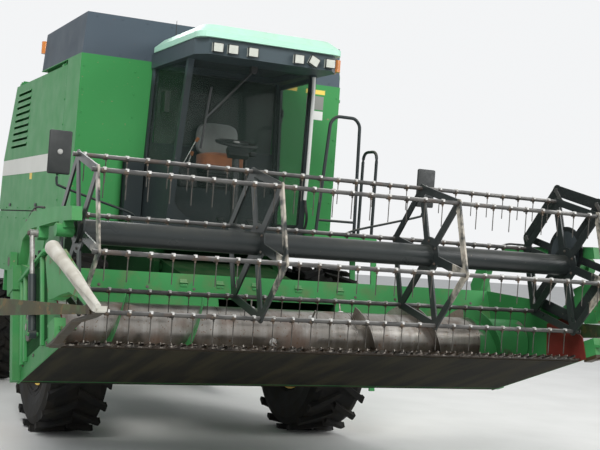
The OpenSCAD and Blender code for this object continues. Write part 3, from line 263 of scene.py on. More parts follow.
def painted(name, base, faded, grime, rough, dust, chip=(0.30, 0.20, 0.13), gloss=0.28):
    """Field-worn paint: sun fade, dust on what faces up, streaks below edges, chips and fine scratches."""
    f = Finish(name, rough, Specular_IOR_Level=gloss)
    fade = f.noise(0.7, 2.0).lift(0.35, 0.7)
    streak = f.noise(1.6, 3.0, (3.0, 3.0, 0.35)).lift(0.58, 0.85)
    settle = f.facing("Z").lift(0.2, 1.0) * f.noise(6.0, 5.0).lift(0.35, 0.7) * dust
    patch = f.noise(2.3, 5.0).lift(0.55, 0.8)
    worn = f.noise(34.0, 4.0).over(0.715)
    colour = f.mix(fade * 0.7, base, faded)
    colour = f.mix(streak * 0.10 * dust, colour, grime)
    colour = f.mix(patch * 0.35 * dust, colour, grime)
    colour = f.mix(settle, colour, (0.33, 0.30, 0.20))
    f.colour(f.mix(worn * 0.7, colour, chip))
    f.rough(f.noise(5.0, 2.0).lift(0.3, 0.7, rough - 0.03, rough + 0.06) + settle * 0.25)
    f.bump(f.noise(9.0, 2.0) * 0.5 + worn * -0.5, 0.06, 0.0008)
    return f


def mottled(name, rough, metal, mottle, colours, bump, gloss=0.5):
    """Two mottled colours. mottle: scale, detail, low and high; bump: scale, detail, strength and depth."""
    f = Finish(name, rough, metal, Specular_IOR_Level=gloss)
    scale, detail, low, high = mottle
    f.colour(f.mix(f.noise(scale, detail).lift(low, high), *colours))
    scale, detail, strength, depth = bump
    f.bump(f.noise(scale, detail), strength, depth)


def ribbed_glass(name, rough, scale, direction, colours, strength, depth):
    """A moulded lens with ribs."""
    f = Finish(name, rough, Specular_IOR_Level=0.6)
    ribs = f.waves(scale, direction)
    f.colour(f.mix(ribs, *colours))
    f.bump(ribs, strength, depth)


def pale_visor(f):
    """A lighter band over the windscreen."""
    foot, top = 3.36, 3.50
    f.colour(f.mix(f.axis("Z").lift(foot, top), f.base(), (0.060, 0.082, 0.092)))


def grey_disc(f):
    """Dark grey on the fixed disc between the reel's arm and its end."""
    inner, outer = 2.1095, 2.1205
    f.colour(f.mix(f.axis("X").within(inner, outer), f.base(), (0.045, 0.055, 0.060)))


def level_places(f):
    """Distances to the rear and up in the level header's own frame."""
    y, z = f.axis("Y") - PIVOT[0], f.axis("Z") - PIVOT[1]
    c, s = math.cos(HEADER_RAISE), math.sin(HEADER_RAISE)
    return y * c - z * s + PIVOT[0], y * s + z * c + PIVOT[1]


def bleach_bars(f):
    """Lightens the bars on the front side of the spiders, which the sun and the crop have bleached."""
    reach = 0.36
    front = (REEL_AT[0] - reach - f.axis("Y")).over(0.0)
    rub = f.noise(12.0, 5.0).lift(0.38, 0.6)
    rust = f.noise(7.0, 5.0).lift(0.56, 0.68)
    edge = f.mix(rust, (0.52, 0.47, 0.39), (0.20, 0.11, 0.06))
    f.colour(f.mix(front * rub * 0.85, f.base(), edge))


def red_front(f):
    """Red primer on the low front of the end sheets, inside and on the front edge."""
    y, z = level_places(f)
    top, edge_y, edge_z, edge_lean = 0.64, -2.60, 0.35, -0.25
    inside = f.axis("X") * f.facing("X") * -1.0
    seen = f.maths("MAXIMUM", inside.over(0.2), (f.facing("Y") * -1.0).over(0.5))
    low = (top - z).over(0.0) * (edge_y - y + (z - edge_z) * edge_lean).over(0.0) * seen
    primer = f.mix(f.noise(4.0, 5.0).lift(0.35, 0.7), (0.185, 0.030, 0.022), (0.12, 0.022, 0.018))
    f.colour(f.mix(low, f.base(), primer))


def divider_zones(f):
    """White cone, rusty lower edge and worn olive board on the green dividers."""
    y, z = level_places(f)
    cone_x, cone_y, cone_z, cone_slope, cone_back = 2.250, -3.258, 0.849, 0.6267, -3.16
    half_width, half_height, board_x, skid_z = 0.054, 0.064, 2.268, 0.252
    across = f.axis("X").size()
    off = (z - (cone_z + (y - cone_y) * cone_slope)).size()
    inner = f.maths("LESS_THAN", (across - cone_x).size(), half_width)
    cone = f.maths("LESS_THAN", off, half_height) * inner * (cone_back - y).over(0.0)
    scab = f.noise(9.0, 6.0).over(0.60) * (1.0 - cone)
    shade = f.noise(5.0, 5.0).lift(0.4, 0.7)
    white = f.mix(shade * 0.8, (0.60, 0.58, 0.51), (0.36, 0.32, 0.25))
    wide = across.over(board_x)
    skid = (skid_z - z).over(0.0) * (1.0 - wide)
    rust = f.mix(shade, (0.026, 0.021, 0.009), (0.052, 0.032, 0.015))
    board = wide * (f.noise(8.0, 4.0).lift(0.3, 0.5) * 0.25 + 0.75)
    olive = f.mix(f.noise(5.0, 5.0).lift(0.4, 0.65), (0.034, 0.034, 0.011), (0.072, 0.056, 0.022))
    colour = f.mix(board, f.base(), olive)
    colour = f.mix(scab * 0.75, colour, (0.12, 0.075, 0.020))
    f.colour(f.mix(cone, f.mix(skid, colour, rust), white))


ZONES = {"cab_dark": pale_visor, "arm_paint": grey_disc, "reel_spider": bleach_bars,
         "header_ends": red_front, "divider_paint": divider_zones}


def times(colour, factor, more=0.0):
    return tuple(min(1.0, c * factor + more) for c in colour)


def paints(paint, pale, shade):
    """Base, faded and grime colours, roughness, dust, chip colour and gloss of each paint."""
    light = times(paint, 1.15, 0.012)
    bare, iron = (0.30, 0.20, 0.13), (0.16, 0.14, 0.11)
    return {
        "green_body": (paint, light, (0.06, 0.15, 0.05), 0.40, 0.45, bare, 0.14),
        "green_header": (times(paint, 0.85), light, (0.13, 0.12, 0.06), 0.45, 1.0),
        "green_platform": (times(paint, 1.05), light, (0.16, 0.16, 0.09), 0.4, 0.8),
        "pale_roof": (pale, times(pale, 1.06), (0.34, 0.42, 0.30), 0.4, 0.35, (0.45, 0.45, 0.38)),
        "tank_dark": ((0.062, 0.082, 0.102), (0.100, 0.128, 0.150), (0.05, 0.05, 0.05), 0.55, 0.5,
                      (0.10, 0.09, 0.08), 0.18),
        "cab_dark": (shade, times(shade, 1.8), (0.05, 0.05, 0.04), 0.42, 0.35, (0.12, 0.11, 0.10)),
        "reel_dark": ((0.014, 0.017, 0.017), (0.034, 0.039, 0.038), (0.04, 0.04, 0.035), 0.24, 0.05, iron),
        "reel_spider": ((0.014, 0.018, 0.018), (0.032, 0.038, 0.037), (0.04, 0.04, 0.035), 0.30, 0.10, iron,
                        0.4),
        # Header ends: green darkened to three quarters with dark grime, partly real dirt and partly painted
        # shade of the recess by the end drive.
        "header_ends": (times(paint, 0.75), times(light, 0.8), (0.10, 0.10, 0.05), 0.45, 0.8, bare, 0.16),
        "arm_paint": (times(paint, 0.85), light, (0.10, 0.12, 0.05), 0.45, 0.7),
        # Feeder paint: body green darkened to about a sixth, painted shade of the throat under the cab.
        "feeder_paint": (times(paint, 0.16), times(light, 0.26), (0.010, 0.012, 0.006), 0.8, 0.08, bare,
                         0.06),
        "divider_paint": (paint, light, (0.16, 0.14, 0.08), 0.45, 0.9),
        "yellow_rim": ((0.80, 0.50, 0.035), (0.85, 0.62, 0.12), (0.28, 0.20, 0.09), 0.45, 0.8),
        "stripe_silver": ((0.64, 0.64, 0.58), (0.74, 0.74, 0.68), (0.30, 0.30, 0.26), 0.35, 0.3,
                          (0.35, 0.36, 0.33)),
        "sticker_yellow": ((0.80, 0.55, 0.05), (0.86, 0.66, 0.18), (0.45, 0.35, 0.12), 0.45, 0.3,
                           (0.6, 0.5, 0.3)),
        "sticker_white": ((0.74, 0.74, 0.70), (0.80, 0.80, 0.76), (0.5, 0.48, 0.40), 0.45, 0.3,
                          (0.6, 0.58, 0.5)),
        "sticker_grey": ((0.20, 0.21, 0.19), (0.28, 0.28, 0.25), (0.12, 0.12, 0.10), 0.45, 0.3,
                         (0.4, 0.4, 0.36)),
        "rail_white": ((0.62, 0.63, 0.60), (0.72, 0.72, 0.69), (0.30, 0.30, 0.27), 0.35, 0.3,
                       (0.25, 0.22, 0.18)),
        "knob_orange": ((0.42, 0.16, 0.06), (0.50, 0.22, 0.09), (0.2, 0.1, 0.06), 0.4, 0.3, (0.3, 0.2, 0.15)),
        "boss_grey": ((0.36, 0.36, 0.34), (0.46, 0.46, 0.43), (0.2, 0.2, 0.18), 0.4, 0.3, (0.2, 0.18, 0.15)),
    }


def auger_steel(paint):
    """Bright drum rubbed round, rust patches, painted shade on its lower part, green paint left on the outer
    flights and the left end.
    """
    f = Finish("auger_steel", 0.3, 0.9)
    rings = f.noise(17.0, 4.0, (1.0, 0.05, 0.05)).lift(0.30, 0.72)
    long_rub = f.noise(4.0, 5.0, (0.4, 1.0, 1.0)).lift(0.42, 0.66)
    rust = f.noise(3.2, 6.0).lift(0.53, 0.66)
    spots = f.noise(52.0, 3.0).over(0.66)
    x, y, z = f.axis("X"), f.axis("Y") - AUGER_AT[0], f.axis("Z") - AUGER_AT[1]
    right_end, left_end, band = 0.60, 1.62, 1.64
    flight = ((y * y + z * z) ** 0.5).over(DRUM_R + 0.0025)
    outer = f.maths("MAXIMUM", (x * -1.0).over(right_end), x.over(left_end))
    base = f.mix(rings, (0.25, 0.235, 0.21), (0.44, 0.42, 0.39))
    base = f.mix(long_rub * 0.6, base, (0.19, 0.16, 0.13))
    # Painted shade: darker brown below the auger's axis, where the drum lies in shadow.
    base = f.mix((0.03 - z).lift(0.0, 0.16) * 0.75, base, (0.085, 0.066, 0.048))
    base = f.mix(rust * 0.6, base, (0.16, 0.080, 0.042))
    base = f.mix(spots * 0.8, base, (0.17, 0.085, 0.04))
    skin = flight * outer * f.noise(12.0, 4.0).lift(0.28, 0.36)
    end_band = x.over(band) * f.noise(5.0, 5.0).lift(0.36, 0.42)
    coat = f.maths("MAXIMUM", skin, end_band)
    f.colour(f.mix(coat, base, times(paint, 0.9)))
    f.rough(0.26 + rust * 0.35 + rings * 0.1 + coat * 0.15)
    f.metal((1.0 - coat) * (0.92 - rust * 0.6))
    f.bump(rings * 0.4 + rust * 0.6, 0.15, 0.001)


def trough_sheet(paint):
    """Header trough: green back sheet, rubbed steel floor, dark front lip, caked underside."""
    f = Finish("trough_sheet", 0.5, Specular_IOR_Level=0.16)
    up = f.facing("Z")
    rub = f.noise(7.0, 5.0, (0.35, 1.0, 1.0)).lift(0.42, 0.62)
    dirt = f.noise(3.0, 6.0).lift(0.4, 0.7)
    fade = f.noise(1.3, 5.0).lift(0.35, 0.7)
    level = f.axis("Z") + f.axis("Y") * math.tan(HEADER_RAISE)
    floor_z, lip_z, lip_y = 0.375, 0.405, -3.0
    floor = up.lift(0.6, 0.8) * (1.0 - level.lift(floor_z, lip_z))
    green = f.mix(fade * 0.7, times(paint, 0.9), times(paint, 1.15, 0.012))
    green = f.mix(f.noise(6.0, 5.0).lift(0.5, 0.75) * 0.6, green, (0.15, 0.13, 0.07))
    steel = f.mix(rub, (0.115, 0.10, 0.07), (0.42, 0.40, 0.36))
    steel = f.mix(dirt * 0.5, steel, (0.10, 0.075, 0.045))
    under = (0.0 - up).lift(0.6, 0.8)
    slant = f.noise(1.2, 4.0, (5.0, 0.5, 1.0), 0.5, math.radians(50)).lift(0.45, 0.6)
    cake = f.mix(dirt * 0.7, (0.004, 0.004, 0.002), (0.013, 0.011, 0.005))
    cake = f.mix(slant * 0.7, cake, (0.026, 0.022, 0.009))
    lip = level.lift(lip_z, lip_z - 0.01) * (lip_y - f.axis("Y")).over(0.0)
    base = f.mix(lip, f.mix(floor, green, steel), (0.050, 0.042, 0.030))
    f.colour(f.mix(under, base, cake))
    f.metal(floor * rub * 0.7)
    f.rough(0.55 + under * 0.25 - floor * rub * 0.2)
    f.bump(dirt + f.noise(40.0, 3.0) * 0.3, 0.15, 0.001)


def bat_steel(name, z):
    """Dark steel with a painted highlight on top of the bat at height z, thin dark tines below."""
    f = Finish(name, 0.4, 0.6)
    worn = f.noise(18.0, 4.0, (0.3, 1.0, 1.0)).lift(0.4, 0.62)
    rust = f.noise(6.0, 5.0).lift(0.56, 0.7)
    tine = (z - BAT_RADIUS - f.axis("Z")).over(0.0)
    base = f.mix(worn, (0.045, 0.044, 0.042), (0.125, 0.122, 0.115))
    # Painted highlight: pale colour on what faces up, broken up by the worn noise.
    base = f.mix(f.facing("Z").lift(0.45, 0.95) * worn, base, (0.58, 0.57, 0.54))
    base = f.mix(rust * 0.45, base, (0.11, 0.060, 0.035))
    f.colour(f.mix(tine, base, (0.070, 0.064, 0.055)))
    f.metal(worn * 0.6)
    f.rough(0.5 - worn * 0.15 + rust * 0.2)
    f.bump(rust, 0.2, 0.0006)


def metals():
    """Coils, rods, castings, knife, chrome and mirror glass."""
    mottled("coil_steel", 0.5, 0.5, (20.0, 3.0, 0.4, 0.6), ((0.055, 0.050, 0.045), (0.15, 0.11, 0.08)),
            (80.0, 2.0, 0.2, 0.0004))
    mottled("zinc_rod", 0.45, 0.5, (14.0, 4.0, 0.4, 0.65), ((0.36, 0.36, 0.34), (0.20, 0.19, 0.17)),
            (60.0, 2.0, 0.15, 0.0005))

    f = Finish("dull_cast", 0.6, 0.4)
    rust = f.noise(9.0, 6.0).lift(0.35, 0.65)
    f.colour(f.mix(rust * 0.7, (0.125, 0.118, 0.105), (0.070, 0.042, 0.026)))
    f.rough(0.45 + rust * 0.35)
    f.metal(0.55 - rust * 0.45)
    f.bump(f.noise(60.0, 3.0) + rust, 0.35, 0.001)

    f = Finish("guard_cast", 0.5, 0.5)
    # Painted highlight: pale spots on the upward faces of the guards.
    rub = f.noise(30.0, 4.0).lift(0.45, 0.6) * f.facing("Z").lift(-0.1, 0.6)
    dark = f.mix(f.noise(9.0, 4.0).lift(0.4, 0.6), (0.022, 0.018, 0.014), (0.050, 0.034, 0.022))
    f.colour(f.mix(rub * 0.9, dark, (0.46, 0.42, 0.37)))
    f.bump(f.noise(60.0, 3.0), 0.35, 0.001)

    f = Finish("bright_chrome", 0.12, 1.0)
    f.colour(f.mix(f.noise(8.0, 4.0).lift(0.45, 0.7), (0.80, 0.80, 0.79), (0.52, 0.51, 0.48)))
    f.rough(f.noise(30.0, 3.0).lift(0.3, 0.7, 0.08, 0.22))

    f = Finish("mirror_glass", 0.03, 1.0)
    f.colour(f.mix(f.noise(7.0, 4.0).lift(0.5, 0.8) * 0.4, (0.80, 0.82, 0.83), (0.50, 0.50, 0.48)))


def rubbers_and_plastics():
    """Clips, hoses, tyres and mouldings."""
    mottled("clip_plastic", 0.5, 0.0, (30.0, 3.0, 0.5, 0.7), ((0.70, 0.69, 0.66), (0.32, 0.30, 0.26)),
            (120.0, 2.0, 0.2, 0.0004))
    mottled("black_rubber", 0.7, 0.0, (12.0, 4.0, 0.4, 0.7), ((0.018, 0.018, 0.019), (0.06, 0.058, 0.052)),
            (90.0, 2.0, 0.15, 0.0005), 0.3)

    f = Finish("tyre_rubber", 0.85, Specular_IOR_Level=0.25)
    mud = f.noise(6.0, 6.0).lift(0.42, 0.66)
    f.colour(f.mix(mud * 0.3, (0.007, 0.007, 0.007), (0.045, 0.038, 0.026)))
    f.rough(0.75 + mud * 0.18)
    f.bump(f.noise(70.0, 3.0) * 0.6 + mud, 0.4, 0.002)

    f = Finish("moulded_plastic", 0.55)
    f.colour(f.mix(f.noise(5.0, 5.0).lift(0.4, 0.7) * 0.7, (0.012, 0.015, 0.015), (0.036, 0.039, 0.037)))
    f.rough(f.noise(25.0, 3.0).lift(0.3, 0.7, 0.42, 0.60))
    f.bump(f.noise(240.0, 2.0), 0.2, 0.0004)


def glasses():
    """Window glass, nearly opaque in the rear pane, and the lamps' lenses."""
    f = Finish("cab_window", 0.03, IOR=1.5, Specular_IOR_Level=0.3)
    clear, opaque, pane_depth = 0.16, 0.86, 0.06
    haze = f.noise(1.6, 3.0).lift(0.35, 0.75)
    rear = (f.axis("Y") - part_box("cab_glass")[1][1] + pane_depth).over(0.0)
    f.colour(f.mix(haze, (0.022, 0.036, 0.030), (0.055, 0.075, 0.062)))
    f.feed(f.shader.inputs["Alpha"], rear * (opaque - clear) + clear)
    ribbed_glass("lamp_glass", 0.12, 38.0, "X", ((0.36, 0.38, 0.32), (0.58, 0.59, 0.52)), 0.5, 0.002)
    ribbed_glass("amber_glass", 0.16, 60.0, "Z", ((0.62, 0.17, 0.02), (0.85, 0.30, 0.05)), 0.4, 0.001)
    ribbed_glass("red_glass", 0.16, 50.0, "X", ((0.45, 0.02, 0.02), (0.62, 0.05, 0.04)), 0.4, 0.001)


def seat_cloths():
    """Woven orange cloth of the cushion and grey cloth of the back."""
    f = Finish("seat_weave", 0.9, Specular_IOR_Level=0.15, Sheen_Weight=0.25)
    weave = f.waves(420.0, "X") * f.waves(420.0, "Z")
    soil = f.noise(7.0, 5.0).lift(0.4, 0.7)
    f.colour(f.mix(soil * 0.6 + weave * 0.2, (0.50, 0.19, 0.085), (0.26, 0.11, 0.06)))
    f.bump(weave + f.noise(40.0, 3.0) * 0.6, 0.4, 0.001)

    f = Finish("seat_grey", 0.85, Specular_IOR_Level=0.2, Sheen_Weight=0.2)
    weave = f.waves(380.0, "X") * f.waves(380.0, "Z")
    soil = f.noise(6.0, 5.0).lift(0.4, 0.7)
    f.colour(f.mix(soil * 0.5 + weave * 0.15, (0.30, 0.33, 0.31), (0.17, 0.18, 0.17)))
    f.bump(weave, 0.35, 0.001)


# Mesh helpers
SHARP_ANGLE, BEVEL_ANGLE = math.radians(35), 0.5


def settle_piece(name, body, finish, mesh):
    """Makes a mesh a piece with one finish, smooth between sharp edges, that rides on a body."""
    obj = bpy.data.objects.new(name, mesh)
    bpy.context.scene.collection.objects.link(obj)
    mesh.materials.clear()
    mesh.materials.append(MATS[finish])
    for p in mesh.polygons:
        p.use_smooth = True
        p.material_index = 0
    mesh.set_sharp_from_angle(angle=SHARP_ANGLE)
    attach(obj, body)
    return obj


def mesh_of(bm, name):
    """Ends a bmesh as a mesh whose faces point outwards."""
    bmesh.ops.recalc_face_normals(bm, faces=bm.faces)
    mesh = bpy.data.meshes.new(name)
    bm.to_mesh(mesh)
    bm.free()
    return mesh


def bm_piece(name, body, finish, bm, bevel=0.0, segments=2, slot=None, level=False):
    """Turns a bmesh into a piece with softened edges; level means drawn in the level header's frame."""
    if level:
        turn = Matrix.Rotation(-HEADER_RAISE, 4, "X") @ Matrix.Translation((0, -PIVOT[0], -PIVOT[1]))
        bmesh.ops.transform(bm, matrix=Matrix.Translation((0, *PIVOT)) @ turn, verts=bm.verts)
    bmesh.ops.remove_doubles(bm, verts=bm.verts, dist=1e-6)
    if bevel > 0:
        edges = [e for e in bm.edges if len(e.link_faces) == 2 and e.calc_face_angle(0.0) > BEVEL_ANGLE]
        bmesh.ops.bevel(bm, geom=edges, offset=bevel, segments=segments, affect="EDGES", profile=0.5,
                        clamp_overlap=True)
    return settle_piece(name, body, finish, mesh_of(bm, name))


def add_box(bm, a, b, turn=Matrix.Identity(4)):
    """A box between two opposite corners, turned by a matrix about its middle."""
    low, high = Vector(map(min, a, b)), Vector(map(max, a, b))
    size = Matrix.Diagonal((*(high - low), 1.0))
    made = bmesh.ops.create_cube(bm, size=1.0)["verts"]
    bmesh.ops.transform(bm, matrix=Matrix.Translation((low + high) / 2) @ turn @ size, verts=made)


def add_rod(bm, start, end, r0, r1=None, sides=20):
    """A capped round rod or cone from start to end."""
    start, end = Vector(start), Vector(end)
    d = end - start
    made = bmesh.ops.create_cone(bm, cap_ends=True, segments=sides, radius1=r0,
                                 radius2=r0 if r1 is None else r1, depth=d.length)["verts"]
    turn = d.to_track_quat("Z", "Y").to_matrix().to_4x4()
    bmesh.ops.transform(bm, matrix=Matrix.Translation((start + end) / 2) @ turn, verts=made)


def add_rings(bm, rings, loop=False):
    """Joins rings of vertices into a skin, closed by caps or into a loop."""
    for a, b in zip(rings, rings[1:] + rings[:1] if loop else rings[1:]):
        for k in range(len(a)):
            n = (k + 1) % len(a)
            bm.faces.new((a[k], a[n], b[n], b[k]))
    if not loop:
        bm.faces.new(list(reversed(rings[0])))
        bm.faces.new(rings[-1])


def add_prism(bm, outline, axis, start, end):
    """Extrudes a closed outline of 2-D points along an axis, 0 for X, 1 for Y, 2 for Z."""
    rings = [[bm.verts.new((*p[:axis], h, *p[axis:])) for p in outline] for h in sorted((start, end))]
    add_rings(bm, rings)


def tube(name, body, finish, points, radius, sides=12, slot=None):
    """A round tube along a path, as a closed mesh."""
    bm = bmesh.new()
    pts = [Vector(p) for p in points]
    rings = []
    for i, p in enumerate(pts):
        d = (pts[min(i + 1, len(pts) - 1)] - pts[max(i - 1, 0)]).normalized()
        side = d.cross(Vector((0, 0, 1)))
        if side.length < 0.05:
            side = d.cross(Vector((1, 0, 0)))
        side.normalize()
        up = side.cross(d)
        rings.append([bm.verts.new(p + radius * (math.cos(t) * side + math.sin(t) * up))
                      for t in (2 * math.pi * k / sides for k in range(sides))])
    add_rings(bm, rings)
    return bm_piece(name, body, finish, bm, slot=slot)


def smooth_path(points, steps=6):
    """Catmull-Rom points through the given ones."""
    pts = [Vector(p) for p in points]
    out = []
    for i in range(len(pts) - 1):
        a, b, c, d = pts[max(i - 1, 0)], pts[i], pts[i + 1], pts[min(i + 2, len(pts) - 1)]
        square, cube = 2 * a - 5 * b + 4 * c - d, 3 * b - a - 3 * c + d
        out += [0.5 * (2 * b + (c - a) * t + square * t * t + cube * t ** 3)
                for t in (k / steps for k in range(steps))]
    return out + [pts[-1]]


def bent_path(points, radius=0.07, steps=6):
    """The given corners joined by straight runs, each bend rounded."""
    pts = [Vector(p) for p in points]
    out = [pts[0]]
    for before, corner, after in zip(pts, pts[1:], pts[2:]):
        reach = min(radius, (before - corner).length * 0.45, (after - corner).length * 0.45)
        a, b = (corner + (end - corner).normalized() * reach for end in (before, after))
        out += [a.lerp(corner, t).lerp(corner.lerp(b, t), t) for t in (k / steps for k in range(steps + 1))]
    return out + [pts[-1]]


def shaped(name, body, finish, shapes, bevel=0.0, **how):
    """A piece made of shapes, each given by the function that adds it and what it takes."""
    bm = bmesh.new()
    for add, *values in shapes:
        add(bm, *values)
    return bm_piece(name, body, finish, bm, bevel, **how)


def outer_face(node, side):
    """How far out a node reaches in X, on the right (-1) or the left (1)."""
    low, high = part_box(node)
    return low[0] if side < 0 else high[0]


def tank_wall():
    """The front face of the grain tank's wall, behind the lip at its edge."""
    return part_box("grain_tank")[0][1] + 0.090


# Geometry Nodes

def repeat_tree(name):
    """A node tree that sets the stamp on every point, turned by the value stored there."""
    tree = bpy.data.node_groups.new(name, "GeometryNodeTree")
    ids = {}
    for label, kind in (("Geometry", "Geometry"), ("Stamp", "Object"), ("Size", "Float"),
                        ("Finish", "Material")):
        made = tree.interface.new_socket(label, in_out="INPUT", socket_type="NodeSocket" + kind)
        ids[label] = made.identifier
    tree.interface.new_socket("Geometry", in_out="OUTPUT", socket_type="NodeSocketGeometry")
    given, out, info, spread, turn, solid, paint = (tree.nodes.new(kind) for kind in (
        "NodeGroupInput", "NodeGroupOutput", "GeometryNodeObjectInfo", "GeometryNodeInstanceOnPoints",
        "GeometryNodeInputNamedAttribute", "GeometryNodeRealizeInstances", "GeometryNodeSetMaterial"))
    turn.data_type = "FLOAT_VECTOR"
    turn.inputs["Name"].default_value = "turn"
    for source, output, target, socket in (
            (given, "Stamp", info, "Object"), (given, "Geometry", spread, "Points"),
            (info, "Geometry", spread, "Instance"), (turn, "Attribute", spread, "Rotation"),
            (given, "Size", spread, "Scale"), (spread, "Instances", solid, "Geometry"),
            (solid, "Geometry", paint, "Geometry"), (given, "Finish", paint, "Material"),
            (paint, "Geometry", out, "Geometry")):
        tree.links.new(source.outputs[output], target.inputs[socket])
    return tree, ids


def repeat_on_points(name, body, finish, places, stamp, turns=None):
    """Sets a copy of the stamp mesh at each place, with its own turn, through Geometry Nodes."""
    base = bpy.data.meshes.new(name + "_places")
    base.from_pydata([tuple(p) for p in places], [], [])
    turn = base.attributes.new("turn", "FLOAT_VECTOR", "POINT")
    for i in range(len(places)):
        turn.data[i].vector = turns[i] if turns else (0.0, 0.0, 0.0)
    holder = bpy.data.objects.new(name + "_holder", base)
    source = bpy.data.objects.new(name + "_stamp", stamp)
    for obj in (holder, source):
        bpy.context.scene.collection.objects.link(obj)
    mod = holder.modifiers.new("repeat", "NODES")
    mod.node_group, ids = repeat_tree(name + "_tree")
    for label, value in (("Stamp", source), ("Size", 1.0), ("Finish", MATS[finish])):
        mod[ids[label]] = value
    mesh = bpy.data.meshes.new_from_object(holder.evaluated_get(bpy.context.evaluated_depsgraph_get()))
    mesh.name = name
    for obj in (holder, source):
        bpy.data.objects.remove(obj)
    return settle_piece(name, body, finish, mesh)


def stamp_mesh(name, build):
    bm = bmesh.new()
    build(bm)
    return mesh_of(bm, name)


def hex_bolt(radius, height, axis):
    """A bolt head with a washer, standing along an axis."""
    def build(bm):
        end = Vector(axis)
        add_rod(bm, (0, 0, 0), end * height * 0.25, radius * 1.35, sides=16)
        add_rod(bm, end * height * 0.2, end * height, radius, radius * 0.92, sides=6)
    return stamp_mesh("bolt", build)


def colour_setting(name, description, default):
    return bpy.props.FloatVectorProperty(name=name, description=description, subtype="COLOR", size=3,
                                         min=0, max=1, default=default)


class HarvesterLooks(bpy.types.PropertyGroup):
    paint: colour_setting("Body paint", "Colour of the green sheet metal", (0.044, 0.245, 0.070))
    pale: colour_setting("Roof paint", "Colour of the cab roof", (0.46, 0.76, 0.60))
    shade: colour_setting("Cab paint", "Colour of the cab's frame", (0.017, 0.023, 0.024))
    bolt_r: bpy.props.FloatProperty(name="Bolt radius", description="Radius of a panel bolt's head",
                                    default=0.008, min=0.004, max=0.02, unit="LENGTH")
    lamp_power: bpy.props.FloatProperty(name="Lamp power", description="Strength of the main softbox",
                                        default=1500.0, min=0)


class PaintOperator(bpy.types.Operator):
    """Makes the finishes and gives every CAD node its own"""
    bl_idname = "harvester.paint"
    bl_label = "Paint"

    def execute(self, context):
        looks = context.scene.harvester_looks
        paint = tuple(looks.paint)
        for name, row in paints(paint, tuple(looks.pale), tuple(looks.shade)).items():
            f = painted(name, *row)
            if name in ZONES:
                ZONES[name](f)
        auger_steel(paint)
        trough_sheet(paint)
        for i, (_, z) in enumerate(BATS):
            bat_steel(f"bat_steel_{i + 1}", z)
        for make in (metals, rubbers_and_plastics, glasses, seat_cloths):
            make()
        for name, obj in NODES.items():
            finish = MATS[finish_of(name)]
            for place in obj.material_slots:
                place.material = finish
            if not obj.material_slots:
                obj.data.materials.append(finish)
        return {"FINISHED"}


class StageOperator(bpy.types.Operator):
    """Makes the floor, the lamps and the camera"""
    bl_idname = "harvester.stage"
    bl_label = "Stage"

    def execute(self, context):
        scene = context.scene
        scene.view_settings.view_transform = "Standard"
        self.floor(scene)
        self.sky(scene)
        self.lamps(scene)
        self.camera(scene)
        return {"FINISHED"}

    def floor(self, scene):
        f = Finish("stage_floor", 0.85)
        f.colour(f.mix(f.noise(1.2, 4.0).lift(0.3, 0.7), (0.70, 0.69, 0.66), (0.76, 0.75, 0.72)))
        bm = bmesh.new()
        bmesh.ops.create_grid(bm, x_segments=1, y_segments=1, size=60)
        mesh = bpy.data.meshes.new("floor")
        bm.to_mesh(mesh)
        bm.free()
        mesh.materials.append(f.material)
        ground = bpy.data.objects.new("floor", mesh)
        scene.collection.objects.link(ground)

    def sky(self, scene):
        """Soft bluish light on the part, and a plain pale grey behind it and in its reflections."""
        scene.world = world = bpy.data.worlds.new("studio")
        world.use_nodes = True
        tree = world.node_tree
        back = tree.nodes["Background"]
        white, ray, glossy, seen, mix = (tree.nodes.new("ShaderNode" + kind) for kind in (
            "Background", "LightPath", "Math", "Math", "MixShader"))
        for node, colour, strength in ((back, (0.86, 0.90, 0.96, 1), 0.55),
                                       (white, (0.90, 0.91, 0.92, 1), 1.0)):
            node.inputs["Color"].default_value = colour
            node.inputs["Strength"].default_value = strength
        glossy.operation = seen.operation = "MAXIMUM"
        for output, socket in (
                (ray.outputs["Is Camera Ray"], glossy.inputs[0]),
                (ray.outputs["Is Glossy Ray"], glossy.inputs[1]),
                (glossy.outputs[0], seen.inputs[0]), (ray.outputs["Is Transmission Ray"], seen.inputs[1]),
                (seen.outputs[0], mix.inputs[0]), (back.outputs[0], mix.inputs[1]),
                (white.outputs[0], mix.inputs[2]), (mix.outputs[0], tree.nodes["World Output"].inputs[0])):
            tree.links.new(output, socket)

    def lamps(self, scene):
        """Three round softboxes that face the machine's middle, each with its share of the main power."""
        middle = Vector((0, 0.5, 1.8))
        for name, at, size, share in (("key", (-6.0, -11.5, 11.0), 6.0, 1.0),
                                      ("fill", (9.0, -8.0, 7.0), 7.0, 0.45),
                                      ("rear", (2.0, 12.0, 10.0), 7.0, 0.5)):
            data = bpy.data.lights.new(name, "AREA")
            data.shape = "DISK"
            data.size = size
            data.energy = scene.harvester_looks.lamp_power * share
            lamp = bpy.data.objects.new(name, data)
            lamp.location = at
            lamp.rotation_euler = (middle - Vector(at)).to_track_quat("-Z", "Y").to_euler()
            scene.collection.objects.link(lamp)

    def camera(self, scene):
        cam = bpy.data.cameras.new("photo_camera")
        cam.lens, cam.sensor_width, cam.shift_y, cam.clip_end = CAM_LENS, CAM_SENSOR, CAM_SHIFT, 200
        obj = bpy.data.objects.new("photo_camera", cam)
        forward = Vector((math.sin(CAM_YAW) * math.cos(CAM_PITCH), math.cos(CAM_YAW) * math.cos(CAM_PITCH),
                          math.sin(CAM_PITCH)))
        right = Vector((math.cos(CAM_YAW), -math.sin(CAM_YAW), 0))
        up = right.cross(forward)
        x = math.cos(CAM_ROLL) * right + math.sin(CAM_ROLL) * up
        y = -math.sin(CAM_ROLL) * right + math.cos(CAM_ROLL) * up
        obj.matrix_world = Matrix.Translation(CAM_AT) @ Matrix((x, y, -forward)).transposed().to_4x4()
        scene.collection.objects.link(obj)
        scene.camera = obj


